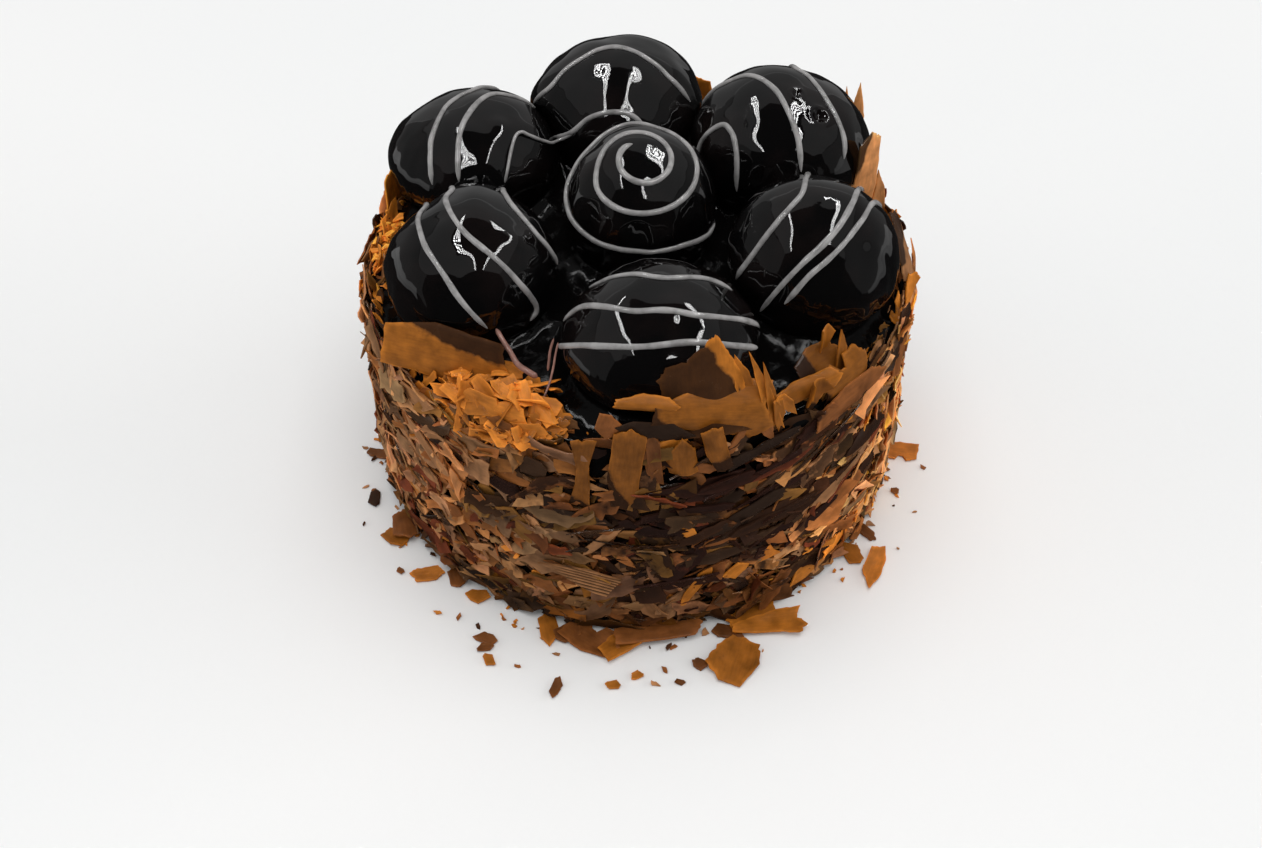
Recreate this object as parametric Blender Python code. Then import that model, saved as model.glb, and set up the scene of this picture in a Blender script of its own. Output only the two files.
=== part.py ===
"""A round cake coated with chocolate shavings, with seven glazed profiteroles on its top.

Run it with: blender --background --python part.py
Lengths are in metres, +Z is up, the front is towards -Y, and the origin is the centre of the flat foot.
"""

import math
import random
from collections import namedtuple

import bmesh
import bpy
from mathutils import Matrix, Vector

MM = 0.001
GOLDEN_TURN = math.pi * (3 - math.sqrt(5))
PLASTIC_RATIO = 0.7548776662
WELD = 0.002 * MM
SLIVER = 0.001 * MM
SAME_LEVEL = 0.01 * MM

# The cake's body, a short cylinder under its coat of shavings
BODY_RADIUS = 76.4 * MM
BODY_TOP = 72.5 * MM
BODY_SIDES = 40
FOOT_CHAMFER = 1.2 * MM
RIM_CHAMFER = 1.5 * MM

# The poured glaze on the body's top, which rises between the profiteroles
GLAZE_RINGS = (65 * MM, 57 * MM, 49 * MM, 41 * MM, 33 * MM, 26 * MM, 19 * MM, 11 * MM)
GLAZE_WEB_HEIGHT = 10 * MM
GLAZE_WEB_INNER = 40 * MM
GLAZE_WEB_OUTER = 70 * MM
GLAZE_EDGE_HEIGHT = 0.8 * MM
GLAZE_GAP = 1.0 * MM
GLAZE_REACH = 3.0 * MM
GLAZE_STEP = 0.4 * MM
GLAZE_FEELERS = 6

# The profiteroles: plan position, half width, height, and by how many hundredths each swells at the spots
# listed below. A negative swell is a flat or a hollow. The spots are bearings in plan and angles from the
# top, in degrees.
Puff = namedtuple("Puff", "x y half_width height swells")
PUFFS = {
    "profiterole_centre": Puff(0.7 * MM, 2.6 * MM, 21.9 * MM, 37.7 * MM, (-2, -1, 3, -6, 1, 0)),
    "profiterole_front": Puff(5.2 * MM, -47.8 * MM, 25.7 * MM, 27.7 * MM, (2, -4, 3, -7, -1, -9)),
    "profiterole_right": Puff(46.5 * MM, -20.4 * MM, 22.7 * MM, 37.0 * MM, (2, 1, -2, 3, -1, 1)),
    "profiterole_back_right": Puff(41.9 * MM, 31.5 * MM, 26.2 * MM, 37.4 * MM, (0, -4, 1, 3, -1, 0)),
    "profiterole_back": Puff(-5.8 * MM, 52.2 * MM, 25.6 * MM, 35.8 * MM, (-1, 4, -1, -1, 1, 0)),
    "profiterole_back_left": Puff(-47.5 * MM, 31.6 * MM, 24.4 * MM, 29.5 * MM, (0, 1, 0, -3, 5, 2)),
    "profiterole_left": Puff(-44.4 * MM, -23.0 * MM, 23.5 * MM, 34.0 * MM, (-2, -1, 6, -9, 0, 2)),
}
SWELL_SPOTS = ((0, 80), (35, 60), (90, 45), (145, 60), (180, 80), (270, 75))
SWELL_SPREAD = 38
SEAT_GAP = 0.3 * MM
TOUCH_GAP = 0.25 * MM
TOUCH_SOFTNESS = 1.5 * MM
PUFF_SIDES = 18
PUFF_ROWS = 10
PUFF_MIDDLE = 0.42  # share of the height at which a profiterole is widest
PUFF_BELLY = 0.50  # how deep its underside would reach, as a share of the height, were it not flat
PUFF_BELLY_POWER = 2.4

# The piped lines: each stroke is a few (bearing, angle from the top) pairs, in degrees
LINE_RADIUS = 0.85 * MM
LINE_LIFT = 0.15 * MM
LINE_POINTS = 8
STROKES = {
    "profiterole_front": (
        ((153, 66), (139, 40), (111, 17), (45, 22), (29, 45), (22, 66)),
        ((175, 82), (180, 62), (196, 47), (225, 34), (262, 26), (299, 30), (322, 43), (343, 60), (3, 86)),
        ((186, 92), (208, 74), (225, 65), (259, 56), (297, 56), (321, 67), (347, 87)),
    ),
    "profiterole_left": (
        ((128, 72), (144, 45), (169, 40), (201, 38), (231, 44), (253, 55), (265, 67), (274, 78), (284, 93)),
        ((108, 62), (112, 36), (132, 26), (207, 12), (269, 24), (290, 38), (310, 68), (320, 92), (314, 100)),
        ((72, 70), (55, 45), (29, 37), (5, 44), (354, 57), (355, 72), (359, 87)),
    ),
    "profiterole_right": (
        ((90, 70), (95, 40), (107, 23), (177, 11), (212, 24), (215, 39), (214, 55), (211, 72), (205, 89)),
        ((52, 75), (24, 33), (339, 24), (295, 31), (271, 43), (256, 55), (244, 72), (230, 100)),
        ((35, 80), (9, 43), (324, 36), (294, 43), (275, 53), (260, 65), (247, 86)),
    ),
    "profiterole_back_right": (
        ((152, 80), (156, 60), (150, 37), (161, 21), (228, 13), (267, 28), (277, 50), (278, 72)),
        ((84, 75), (72, 29), (37, 23), (341, 30), (325, 45), (318, 56), (310, 71)),
        ((196, 90), (198, 74), (207, 57), (219, 56), (229, 62), (235, 73), (238, 90)),
    ),
    "profiterole_back": (
        ((190, 92), (192, 80), (202, 60), (196, 42), (185, 12), (341, 4), (337, 33), (333, 49), (336, 70)),
        ((216, 92), (237, 78), (248, 66), (262, 60), (279, 61), (290, 70)),
    ),
    "profiterole_back_left": (
        ((70, 75), (89, 38), (121, 26), (171, 24), (212, 35), (229, 51), (239, 65), (245, 78)),
        ((30, 64), (43, 40), (51, 27), (29, 6), (260, 20), (259, 41), (262, 59), (264, 73)),
    ),
}

# The centre's one long line is a spiral about a tilted axis: (turn, angle from the axis) pairs, in degrees
SPIRAL_AXIS = (268, 20)
SPIRAL_POINTS = 32
SPIRAL = (
    (110, 14), (208, 15), (282, 19), (347, 22), (439, 28), (525, 29), (578, 37), (648, 40),
    (722, 44), (790, 48), (850, 54), (900, 70), (971, 68), (1020, 72), (1062, 88),
)  # fmt: skip

# The shavings: thin broken plates with a ragged outline
SHAVING_THICKNESS = 0.9 * MM
SHAVING_SEED = 700
SHAVING_PUFF_GAP = 0.6 * MM
FLOOR_GAP = 0.1 * MM

# Those pressed on the wall stand out from it as flat facets, the largest first, spread by the golden turn
WALL_SHAVINGS = 152
WALL_LENGTHS = (20 * MM, 10 * MM)
WALL_SLIMNESS = (0.38, 0.62)
WALL_PROUD = (0.45 * MM, 1.15 * MM)
WALL_SUNK = 2.6 * MM
WALL_MARGIN = 0.6 * MM

WALL_ROLL = 26
WALL_TWIST = (4, 15)
WALL_TIP = 5

# Those that stand and lean at the rim, and those that lean on the foot, with their angles in degrees
RIM_SHAVINGS = 24
RIM_LENGTHS = (15 * MM, 9 * MM)
RIM_ROLL = 75
RIM_LEAN = (-35, 20)
RIM_INSET = 1 * MM
FOOT_SHAVINGS = 7
FOOT_LENGTHS = (13 * MM, 8 * MM)
FOOT_LEAN = (-35, -15)
FOOT_OUTSET = 1 * MM
SLIMNESS = (0.4, 0.6)
STEP_OUT = 0.5 * MM
STEPS_OUT = 8

# The largest ones, each at its own place: azimuth, distance from the axis, height, length, width,
# roll from level, how far the top leans outwards, and swing about the vertical, with the angles in degrees
Sheet = namedtuple("Sheet", "azimuth reach height length width roll lean swing")
SHEETS = (
    Sheet(-137, 70.5 * MM, 79.0 * MM, 34 * MM, 16 * MM, -2, -20, 19),
    Sheet(-68, 75.3 * MM, 80.0 * MM, 28 * MM, 18 * MM, 4, 0, 0),
    Sheet(-85, 75.0 * MM, 84.0 * MM, 26 * MM, 5.5 * MM, -4, -8, 0),
    Sheet(-75, 70.5 * MM, 87.5 * MM, 23 * MM, 19 * MM, 88, -32, 0),
    Sheet(-62, 76.5 * MM, 80.5 * MM, 23 * MM, 6 * MM, 74, -6, 0),
    Sheet(-58, 76.5 * MM, 79.0 * MM, 22 * MM, 6 * MM, 106, -2, 0),
    Sheet(-54, 75.5 * MM, 77.0 * MM, 17 * MM, 6 * MM, 58, 8, 0),
    Sheet(-47, 73.5 * MM, 77.5 * MM, 25 * MM, 11 * MM, 14, -30, -10),
    Sheet(-38, 76.5 * MM, 78.0 * MM, 22 * MM, 13 * MM, 25, -12, -10),
    Sheet(-43, 76.5 * MM, 78.0 * MM, 15 * MM, 6 * MM, 84, 0, 0),
    Sheet(-91, 77.6 * MM, 64.0 * MM, 24 * MM, 10 * MM, 84, 2, 0),
    Sheet(-100, 77.6 * MM, 64.0 * MM, 19 * MM, 8 * MM, 80, 2, 0),
    Sheet(-85, 77.4 * MM, 65.0 * MM, 16 * MM, 7 * MM, 104, 4, 0),
    Sheet(-77, 77.6 * MM, 66.0 * MM, 15 * MM, 11 * MM, 96, 4, 0),
    Sheet(-24, 77.5 * MM, 72.0 * MM, 26 * MM, 13 * MM, 80, 2, 0),
    Sheet(-4, 77.0 * MM, 76.0 * MM, 28 * MM, 11 * MM, 96, 0, 0),
    Sheet(23, 74.5 * MM, 85.0 * MM, 34 * MM, 9 * MM, 90, 0, -8),
    Sheet(12, 76.0 * MM, 75.0 * MM, 20 * MM, 11 * MM, 100, 0, 0),
    Sheet(75, 76.5 * MM, 75.0 * MM, 21 * MM, 11 * MM, 84, 2, 0),
    Sheet(62, 76.5 * MM, 74.0 * MM, 20 * MM, 10 * MM, 100, 2, 0),
    Sheet(122, 76.0 * MM, 74.0 * MM, 20 * MM, 12 * MM, 76, 2, 0),
    Sheet(162, 74.0 * MM, 74.5 * MM, 20 * MM, 10 * MM, 95, 0, 0),
    Sheet(-177, 75.0 * MM, 73.0 * MM, 16 * MM, 8 * MM, 70, 0, 0),
)

# The heap of small shavings that spills over the rim, left of the front profiterole
HEAP_AZIMUTH = -119
HEAP_SPREAD = 13
HEAP_REACH = 70.5 * MM
HEAP_HEIGHT = 71.5 * MM
HEAP_SIZE = (17 * MM, 8.5 * MM, 9 * MM)
HEAP_SHAVINGS = 15
HEAP_LENGTHS = (6.5 * MM, 11 * MM)
HEAP_SLIMNESS = (0.4, 0.65)
HEAP_RISE = (-35, 70)
HEAP_ROLL = 80
HEAP_TWIST = 20
HEAP_SINK = 0.2 * MM

# The slabs that have slid down and lie against the foot: azimuth, distance, length, width, turn
Slab = namedtuple("Slab", "azimuth reach length width turn")
SLAB_THICKNESS = 1.0 * MM
SLABS = (
    Slab(-66, 79.5 * MM, 16 * MM, 10 * MM, 12),
    Slab(-64, 85 * MM, 21 * MM, 9 * MM, -16),
    Slab(-86, 79.5 * MM, 25 * MM, 8 * MM, 8),
    Slab(-99, 82 * MM, 17 * MM, 11 * MM, -30),
    Slab(-93, 83 * MM, 14 * MM, 8 * MM, 40),
    Slab(-150, 80 * MM, 13 * MM, 9 * MM, -20),
)


def clear_scene():
    for obj in list(bpy.data.objects):
        bpy.data.objects.remove(obj)


def food_material(name, colour, roughness):
    material = bpy.data.materials.new(name)
    material.use_nodes = True
    shader = material.node_tree.nodes["Principled BSDF"]
    shader.inputs["Base Color"].default_value = (*colour, 1)
    shader.inputs["Roughness"].default_value = roughness
    shader.inputs["Metallic"].default_value = 0
    material.diffuse_color = (*colour, 1)
    return material


def object_from(bm, name, material=None):
    mesh = bpy.data.meshes.new(name)
    bmesh.ops.recalc_face_normals(bm, faces=bm.faces)
    bm.to_mesh(mesh)
    bm.free()
    if material:
        mesh.materials.append(material)
    return bpy.data.objects.new(name, mesh)


def link(obj, collection=None):
    (collection or bpy.context.scene.collection).objects.link(obj)
    return obj


def smoothstep(low, high, value):
    share = min(1.0, max(0.0, (value - low) / (high - low)))
    return share * share * (3 - 2 * share)


def soft_minimum(a, b, softness):
    """The smaller of two lengths, rounded off where they are nearly the same."""
    share = max(softness - abs(a - b), 0.0) / softness
    return min(a, b) - share * share * softness / 4


def compass(bearing, fall):
    """The unit vector at a plan bearing and an angle from the top, both in degrees."""
    turn, drop = math.radians(bearing), math.radians(fall)
    return Vector((math.sin(drop) * math.cos(turn), math.sin(drop) * math.sin(turn), math.cos(drop)))


def smooth_course(points, count):
    """Count points evenly spaced in parameter on a Catmull-Rom curve through the given ones."""
    ends = [2 * points[0] - points[1], *points, 2 * points[-1] - points[-2]]
    spans = len(points) - 1
    course = []
    for k in range(count):
        place = k / (count - 1) * spans
        span = min(int(place), spans - 1)
        t = place - span
        a, b, c, d = ends[span : span + 4]
        bend = (c - a) * t + (2 * a - 5 * b + 4 * c - d) * t**2 + (3 * b - a - 3 * c + d) * t**3
        course.append(b + 0.5 * bend)
    return course


def puff_middle(puff):
    return Vector((puff.x, puff.y, BODY_TOP + SEAT_GAP + PUFF_MIDDLE * puff.height))


def puff_reach(puff, direction):
    """How far a profiterole's skin lies from its middle, along a unit vector."""
    flat = math.hypot(direction.x, direction.y) / puff.half_width
    if direction.z > 0:
        depth, power = (1 - PUFF_MIDDLE) * puff.height, 2
    else:
        depth, power = PUFF_BELLY * puff.height, PUFF_BELLY_POWER
    reach = (flat**power + (abs(direction.z) / depth) ** power) ** (-1 / power)
    swelling = 1
    for spot, swell in zip(SWELL_SPOTS, puff.swells):
        apart = math.degrees(direction.angle(compass(*spot)))
        swelling += swell / 100 * math.exp(-((apart / SWELL_SPREAD) ** 2))
    reach *= swelling
    for other in PUFFS.values():
        apart = Vector((other.x - puff.x, other.y - puff.y, 0))
        if other is puff or apart.length > 2 * (puff.half_width + other.half_width):
            continue
        facing = direction.dot(apart.normalized())
        if facing > 0.3:
            share = puff.half_width / (puff.half_width + other.half_width)
            wall = (apart.length * share - TOUCH_GAP) / facing
            reach = soft_minimum(reach, wall, TOUCH_SOFTNESS)
    return reach


def puff_gap(point, own=None):
    """How far a point lies from the nearest profiterole's skin but its own, below zero inside it."""
    gap = BODY_RADIUS
    for puff in PUFFS.values():
        away = point - puff_middle(puff)
        if puff is not own and away.length < 2 * puff.half_width:
            gap = min(gap, away.length - puff_reach(puff, away.normalized()))
    return gap


def puff_skin(puff):
    """A profiterole's closed skin: a lumpy bun with a flat underside."""
    bm = bmesh.new()
    bmesh.ops.create_uvsphere(bm, u_segments=PUFF_SIDES, v_segments=PUFF_ROWS, radius=1)
    middle = puff_middle(puff)
    foot = BODY_TOP + SEAT_GAP
    for vert in bm.verts:
        direction = vert.co.normalized()
        reach = puff_reach(puff, direction)
        if middle.z + reach * direction.z < foot:
            reach = (foot - middle.z) / direction.z
        vert.co = middle + reach * direction
    return bm


def tube(points, radius, name):
    """A line's solid, a thin tube with closed ends."""
    curve = bpy.data.curves.new(name, "CURVE")
    curve.dimensions = "3D"
    curve.bevel_depth = radius
    curve.bevel_resolution = 0
    curve.use_fill_caps = True
    spline = curve.splines.new("POLY")
    spline.points.add(len(points) - 1)
    for spot, point in zip(spline.points, points):
        spot.co = (*point, 1)
    holder = bpy.data.objects.new(name, curve)
    mesh = bpy.data.meshes.new_from_object(holder)
    bpy.data.objects.remove(holder)
    bm = bmesh.new()
    bm.from_mesh(mesh)
    bmesh.ops.remove_doubles(bm, verts=bm.verts, dist=WELD)
    bpy.data.meshes.remove(mesh)
    return object_from(bm, name)


def spiral_directions():
    tilt = Vector((0, 0, 1)).rotation_difference(compass(*SPIRAL_AXIS))
    turns = smooth_course([Vector(pair) for pair in SPIRAL], SPIRAL_POINTS)
    return [tilt @ compass(turn, fall) for turn, fall in turns]


def stroke_directions(name):
    """The unit vectors that each piped line on a profiterole passes through."""
    if name == "profiterole_centre":
        return [spiral_directions()]
    courses = [smooth_course([compass(*spot) for spot in stroke], LINE_POINTS) for stroke in STROKES[name]]
    return [[spot.normalized() for spot in course] for course in courses]


def piped_lines(name):
    """The lines piped over a profiterole, half sunk in its skin. They stop where a neighbour touches it."""
    puff = PUFFS[name]
    lines = []
    for number, directions in enumerate(stroke_directions(name)):
        course = [puff_middle(puff) + (puff_reach(puff, d) + LINE_LIFT) * d for d in directions]
        free = [point for point in course if puff_gap(point, puff) > LINE_RADIUS + TOUCH_GAP]
        lines.append(tube(free, LINE_RADIUS, f"{name}_line_{number}"))
    return lines


def fuse(obj, parts):
    """Joins the parts to the object by one Boolean union."""
    collection = bpy.data.collections.new(obj.name + "_parts")
    bpy.context.scene.collection.children.link(collection)
    for part in parts:
        link(part, collection)
    union = obj.modifiers.new("Fuse", "BOOLEAN")
    union.operation = "UNION"
    union.operand_type = "COLLECTION"
    union.collection = collection
    union.solver = "EXACT"
    union.use_self = True
    bpy.context.view_layer.update()
    graph = bpy.context.evaluated_depsgraph_get()
    fused = bpy.data.meshes.new_from_object(obj.evaluated_get(graph))
    obj.modifiers.remove(union)
    material = obj.data.materials[0]
    obj.data = fused
    fused.materials.clear()
    fused.materials.append(material)
    for part in parts:
        bpy.data.objects.remove(part)
    bpy.data.collections.remove(collection)
    keep_largest_shell(fused)


def shell_of(start, left):
    """The verts joined to one vert by edges, taken out of those that are left."""
    shell, fringe = {start}, [start]
    while fringe:
        vert = fringe.pop()
        for edge in vert.link_edges:
            other = edge.other_vert(vert)
            if other in left:
                left.remove(other)
                shell.add(other)
                fringe.append(other)
    return shell


def keep_largest_shell(mesh):
    """Leaves the shell with the most verts, so a sealed hollow is filled and a loose scrap is dropped."""
    bm = bmesh.new()
    bm.from_mesh(mesh)
    bmesh.ops.triangulate(bm, faces=bm.faces)
    bmesh.ops.remove_doubles(bm, verts=bm.verts, dist=WELD)
    bmesh.ops.dissolve_degenerate(bm, edges=bm.edges, dist=SLIVER)
    left = set(bm.verts)
    largest = set()
    while left:
        largest = max(largest, shell_of(left.pop(), left), key=len)
    bmesh.ops.delete(bm, geom=[vert for vert in bm.verts if vert not in largest], context="VERTS")
    for face in bm.faces:
        face.material_index = 0
    bm.to_mesh(mesh)
    bm.free()


def make_profiterole(name, material):
    obj = link(object_from(puff_skin(PUFFS[name]), name, material))
    fuse(obj, piped_lines(name))
    obj.data.shade_smooth()
    obj.data.set_sharp_from_angle(angle=math.radians(40))


def glaze_level(x, y):
    """The glaze's height over the body's top: it climbs between the profiteroles and stays clear of them."""
    web = 1 - smoothstep(GLAZE_WEB_INNER, GLAZE_WEB_OUTER, math.hypot(x, y))
    wanted = GLAZE_EDGE_HEIGHT + GLAZE_WEB_HEIGHT * web
    turns = [2 * math.pi * k / GLAZE_FEELERS for k in range(GLAZE_FEELERS)]
    spots = [(x, y)] + [(x + GLAZE_REACH * math.cos(t), y + GLAZE_REACH * math.sin(t)) for t in turns]
    level = 0
    while level + GLAZE_STEP <= wanted:
        height = BODY_TOP + level + GLAZE_STEP
        if min(puff_gap(Vector((*spot, height))) for spot in spots) < GLAZE_GAP:
            return level
        level += GLAZE_STEP
    return level


def body_core():
    """The cake under its coat: a turned profile whose top carries the glaze."""
    profile = [
        (BODY_RADIUS - FOOT_CHAMFER, 0),
        (BODY_RADIUS, FOOT_CHAMFER),
        (BODY_RADIUS, BODY_TOP - RIM_CHAMFER),
        (BODY_RADIUS - RIM_CHAMFER, BODY_TOP),
        *((ring, BODY_TOP) for ring in GLAZE_RINGS),
    ]
    bm = bmesh.new()
    spots = [bm.verts.new((reach, 0, height)) for reach, height in profile]
    chain = [bm.edges.new(pair) for pair in zip(spots, spots[1:])]
    whole_turn = {"cent": (0, 0, 0), "axis": (0, 0, 1), "angle": 2 * math.pi, "steps": BODY_SIDES}
    bmesh.ops.spin(bm, geom=spots + chain, use_merge=True, **whole_turn)
    for height in (0, BODY_TOP):
        rim = [e for e in bm.edges if e.is_boundary and abs(e.verts[0].co.z - height) < SAME_LEVEL]
        hub = bm.verts.new((0, 0, height))
        for edge in rim:
            bm.faces.new((*edge.verts, hub))
    for vert in bm.verts:
        if vert.co.z > BODY_TOP - SAME_LEVEL:
            vert.co.z += glaze_level(vert.co.x, vert.co.y)
    return bm


def ragged_outline(draw, length, width, points):
    """A broken shaving's outline, a long lozenge with its corners knocked about."""
    outline = []
    for k in range(points):
        turn = 2 * math.pi * (k + draw.uniform(-0.3, 0.3)) / points
        along = math.copysign(abs(math.cos(turn)) ** 0.7, math.cos(turn)) * draw.uniform(0.82, 1.1)
        across = math.copysign(abs(math.sin(turn)) ** 0.6, math.sin(turn)) * draw.uniform(0.75, 1.15)
        outline.append((length / 2 * along, width / 2 * across))
    return outline


def seat(azimuth, reach, height, swing=0, lean=0, roll=0, twist=0, tip=0):
    """Where a plate sits, with its own X outwards, Y along and Z across. Lean moves its top outwards."""
    return (
        Matrix.Rotation(azimuth, 4, "Z")
        @ Matrix.Translation((reach, 0, height))
        @ Matrix.Rotation(swing, 4, "Z")
        @ Matrix.Rotation(lean, 4, "Y")
        @ Matrix.Rotation(roll, 4, "X")
        @ Matrix.Rotation(twist, 4, "Y")
        @ Matrix.Rotation(tip, 4, "Z")
    )


def corners_of(outline, place, front, back):
    return [place @ Vector((out, along, across)) for out in (front, back) for along, across in outline]


def plate(outline, place, name, front=SHAVING_THICKNESS, back=0):
    """A closed plate: its outline at two depths, the front one facing outwards."""
    corners = corners_of(outline, place, front, back)
    count = len(outline)
    bm = bmesh.new()
    verts = [bm.verts.new(corner) for corner in corners]
    bm.faces.new(verts[:count])
    bm.faces.new(verts[count:])
    for k in range(count):
        after = (k + 1) % count
        bm.faces.new((verts[k], verts[after], verts[count + after], verts[count + k]))
    return object_from(bm, name)


def clear_of_puffs(outline, place, front=SHAVING_THICKNESS, back=0):
    """Whether a plate keeps its distance from every profiterole."""
    for share in (0.0, 0.35, 0.7, 1.0):
        inner = [(along * share, across * share) for along, across in outline]
        if min(puff_gap(corner) for corner in corners_of(inner, place, front, back)) < SHAVING_PUFF_GAP:
            return False
    return True


def wall_shavings():
    """The shavings pressed on the wall, kept between the foot and the rim."""
    longest, shortest = WALL_LENGTHS
    plates = []
    for number in range(WALL_SHAVINGS):
        draw = random.Random(SHAVING_SEED + number)
        length = longest + (shortest - longest) * math.sqrt(number / WALL_SHAVINGS)
        outline = ragged_outline(draw, length, length * draw.uniform(*WALL_SLIMNESS), draw.choice((5, 6)))
        height = (number + 0.5) * PLASTIC_RATIO % 1 * BODY_TOP
        turns = {
            "roll": math.radians(draw.gauss(0, WALL_ROLL)),
            "twist": draw.choice((-1, 1)) * math.radians(draw.uniform(*WALL_TWIST)),
            "tip": math.radians(draw.uniform(-WALL_TIP, WALL_TIP)),
        }
        proud = draw.uniform(*WALL_PROUD)
        place = seat(number * GOLDEN_TURN, BODY_RADIUS, height, **turns)
        levels = [corner.z for corner in corners_of(outline, place, proud, -WALL_SUNK)]
        lift = max(0, WALL_MARGIN - min(levels)) - max(0, max(levels) - BODY_TOP + RIM_CHAMFER / 2)
        place = Matrix.Translation((0, 0, lift)) @ place
        plates.append(plate(outline, place, f"wall_shaving_{number}", proud, -WALL_SUNK))
    return plates


def pushed_out(outline, name, azimuth, reach, height, **turns):
    """A thin plate at a place, moved outwards in steps until it clears the profiteroles, as a list of one."""
    for step in range(STEPS_OUT):
        place = seat(azimuth, reach + step * STEP_OUT, height, **turns)
        if clear_of_puffs(outline, place):
            return [plate(outline, place, name)]
    return []


def rim_shavings():
    """Shavings that stand or lean at the rim."""
    longest, shortest = RIM_LENGTHS
    plates = []
    for number in range(RIM_SHAVINGS):
        draw = random.Random(2 * SHAVING_SEED + number)
        length = longest + (shortest - longest) * number / RIM_SHAVINGS
        outline = ragged_outline(draw, length, length * draw.uniform(*SLIMNESS), 6)
        roll = math.radians(draw.uniform(-RIM_ROLL, RIM_ROLL))
        lean = math.radians(draw.uniform(*RIM_LEAN))
        spot = (number * GOLDEN_TURN, BODY_RADIUS - RIM_INSET, BODY_TOP - RIM_INSET)
        plates += pushed_out(outline, f"rim_shaving_{number}", *spot, roll=roll, lean=lean)
    return plates


def large_sheets():
    """The broad shavings that stand out in the coat."""
    plates = []
    for number, sheet in enumerate(SHEETS):
        outline = ragged_outline(random.Random(3 * SHAVING_SEED + number), sheet.length, sheet.width, 8)
        spot = (math.radians(sheet.azimuth), sheet.reach, sheet.height)
        turns = {turn: math.radians(getattr(sheet, turn)) for turn in ("swing", "lean", "roll")}
        plates += pushed_out(outline, f"sheet_{number}", *spot, **turns)
    return plates


def rim_heap():
    """The heap on the rim: a low mound with shavings lying on its outer side."""
    along, outward, upward = HEAP_SIZE
    middle = seat(math.radians(HEAP_AZIMUTH), HEAP_REACH, HEAP_HEIGHT)
    mound = bmesh.new()
    bmesh.ops.create_icosphere(mound, subdivisions=2, radius=1)
    for vert in mound.verts:
        vert.co = middle @ Vector((outward * vert.co.x, along * vert.co.y, upward * vert.co.z))
        while puff_gap(vert.co) < SHAVING_PUFF_GAP:
            vert.co += STEP_OUT * Vector((vert.co.x, vert.co.y, 0)).normalized()
    plates = [object_from(mound, "heap_mound")]
    for number in range(HEAP_SHAVINGS):
        draw = random.Random(4 * SHAVING_SEED + number)
        length = draw.uniform(*HEAP_LENGTHS)
        outline = ragged_outline(draw, length, length * draw.uniform(*HEAP_SLIMNESS), 5)
        side = 2 * ((number + 0.5) * PLASTIC_RATIO % 1) - 1
        rise = math.radians(draw.uniform(*HEAP_RISE))
        swell = math.sqrt(1 - 0.8 * side * side)
        spot = (
            math.radians(HEAP_AZIMUTH + HEAP_SPREAD * side),
            HEAP_REACH + outward * swell * math.cos(rise) - HEAP_SINK,
            HEAP_HEIGHT + upward * swell * math.sin(rise),
        )
        roll = math.radians(draw.uniform(-HEAP_ROLL, HEAP_ROLL))
        twist = math.radians(draw.uniform(-HEAP_TWIST, HEAP_TWIST))
        plates += pushed_out(outline, f"heap_shaving_{number}", *spot, lean=-rise, roll=roll, twist=twist)
    return plates


def foot_shavings():
    """Shavings that lean on the wall's foot."""
    longest, shortest = FOOT_LENGTHS
    plates = []
    for number in range(FOOT_SHAVINGS):
        draw = random.Random(5 * SHAVING_SEED + number)
        length = longest + (shortest - longest) * number / FOOT_SHAVINGS
        outline = ragged_outline(draw, length, length * draw.uniform(*SLIMNESS), 6)
        lean = math.radians(draw.uniform(*FOOT_LEAN))
        height = FLOOR_GAP - min(across for along, across in outline) * math.cos(lean)
        place = seat(number * GOLDEN_TURN, BODY_RADIUS + FOOT_OUTSET, height, lean=lean)
        plates.append(plate(outline, place, f"foot_shaving_{number}"))
    return plates


def fallen_slabs():
    """The slabs that lie flat against the foot, of three thicknesses so that crossing ones aren't level."""
    plates = []
    for number, slab in enumerate(SLABS):
        outline = ragged_outline(random.Random(6 * SHAVING_SEED + number), slab.length, slab.width, 8)
        flat = {"lean": -math.pi / 2, "roll": math.radians(slab.turn)}
        place = seat(math.radians(slab.azimuth), slab.reach, FLOOR_GAP, **flat)
        thickness = SLAB_THICKNESS * (1 + 0.25 * (number % 3))
        plates.append(plate(outline, place, f"slab_{number}", thickness))
    return plates


def make_body(material):
    obj = link(object_from(body_core(), "cake_body", material))
    coat = wall_shavings() + rim_shavings() + large_sheets() + rim_heap()
    fuse(obj, coat + foot_shavings() + fallen_slabs())


def main():
    clear_scene()
    coat = food_material("chocolate_shavings", (0.16, 0.065, 0.025), 0.55)
    glaze = food_material("chocolate_glaze", (0.012, 0.009, 0.008), 0.06)
    make_body(coat)
    for name in PUFFS:
        make_profiterole(name, glaze)


main()
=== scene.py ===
"""The looks of a profiterole cake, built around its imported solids.

Lengths are in metres, +Z is up, the front is towards -Y, and the origin is the centre of the flat foot.
The rows of the tables are in millimetres and degrees.
"""

import math
import random
from collections import namedtuple

import bmesh
import bpy
import numpy as np
from mathutils import Matrix, Vector, noise


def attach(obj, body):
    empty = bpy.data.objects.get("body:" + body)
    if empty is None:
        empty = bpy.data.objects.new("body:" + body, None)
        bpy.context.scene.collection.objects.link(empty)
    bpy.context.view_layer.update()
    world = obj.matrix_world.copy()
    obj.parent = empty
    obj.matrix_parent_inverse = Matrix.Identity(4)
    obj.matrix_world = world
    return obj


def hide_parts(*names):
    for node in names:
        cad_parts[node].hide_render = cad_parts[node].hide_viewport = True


MM = 0.001
GOLDEN_TURN = math.pi * (3 - math.sqrt(5))
PLASTIC_RATIO = 0.7548776662


def table(fields, lengths, rows, defaults=()):
    """Rows as named tuples, with the fields that are lengths turned from millimetres into metres."""
    kind = namedtuple("Row", fields, defaults=defaults)
    rows = [kind(*row) for row in rows]
    return [row._replace(**{name: getattr(row, name) * MM for name in lengths.split()}) for row in rows]


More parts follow.
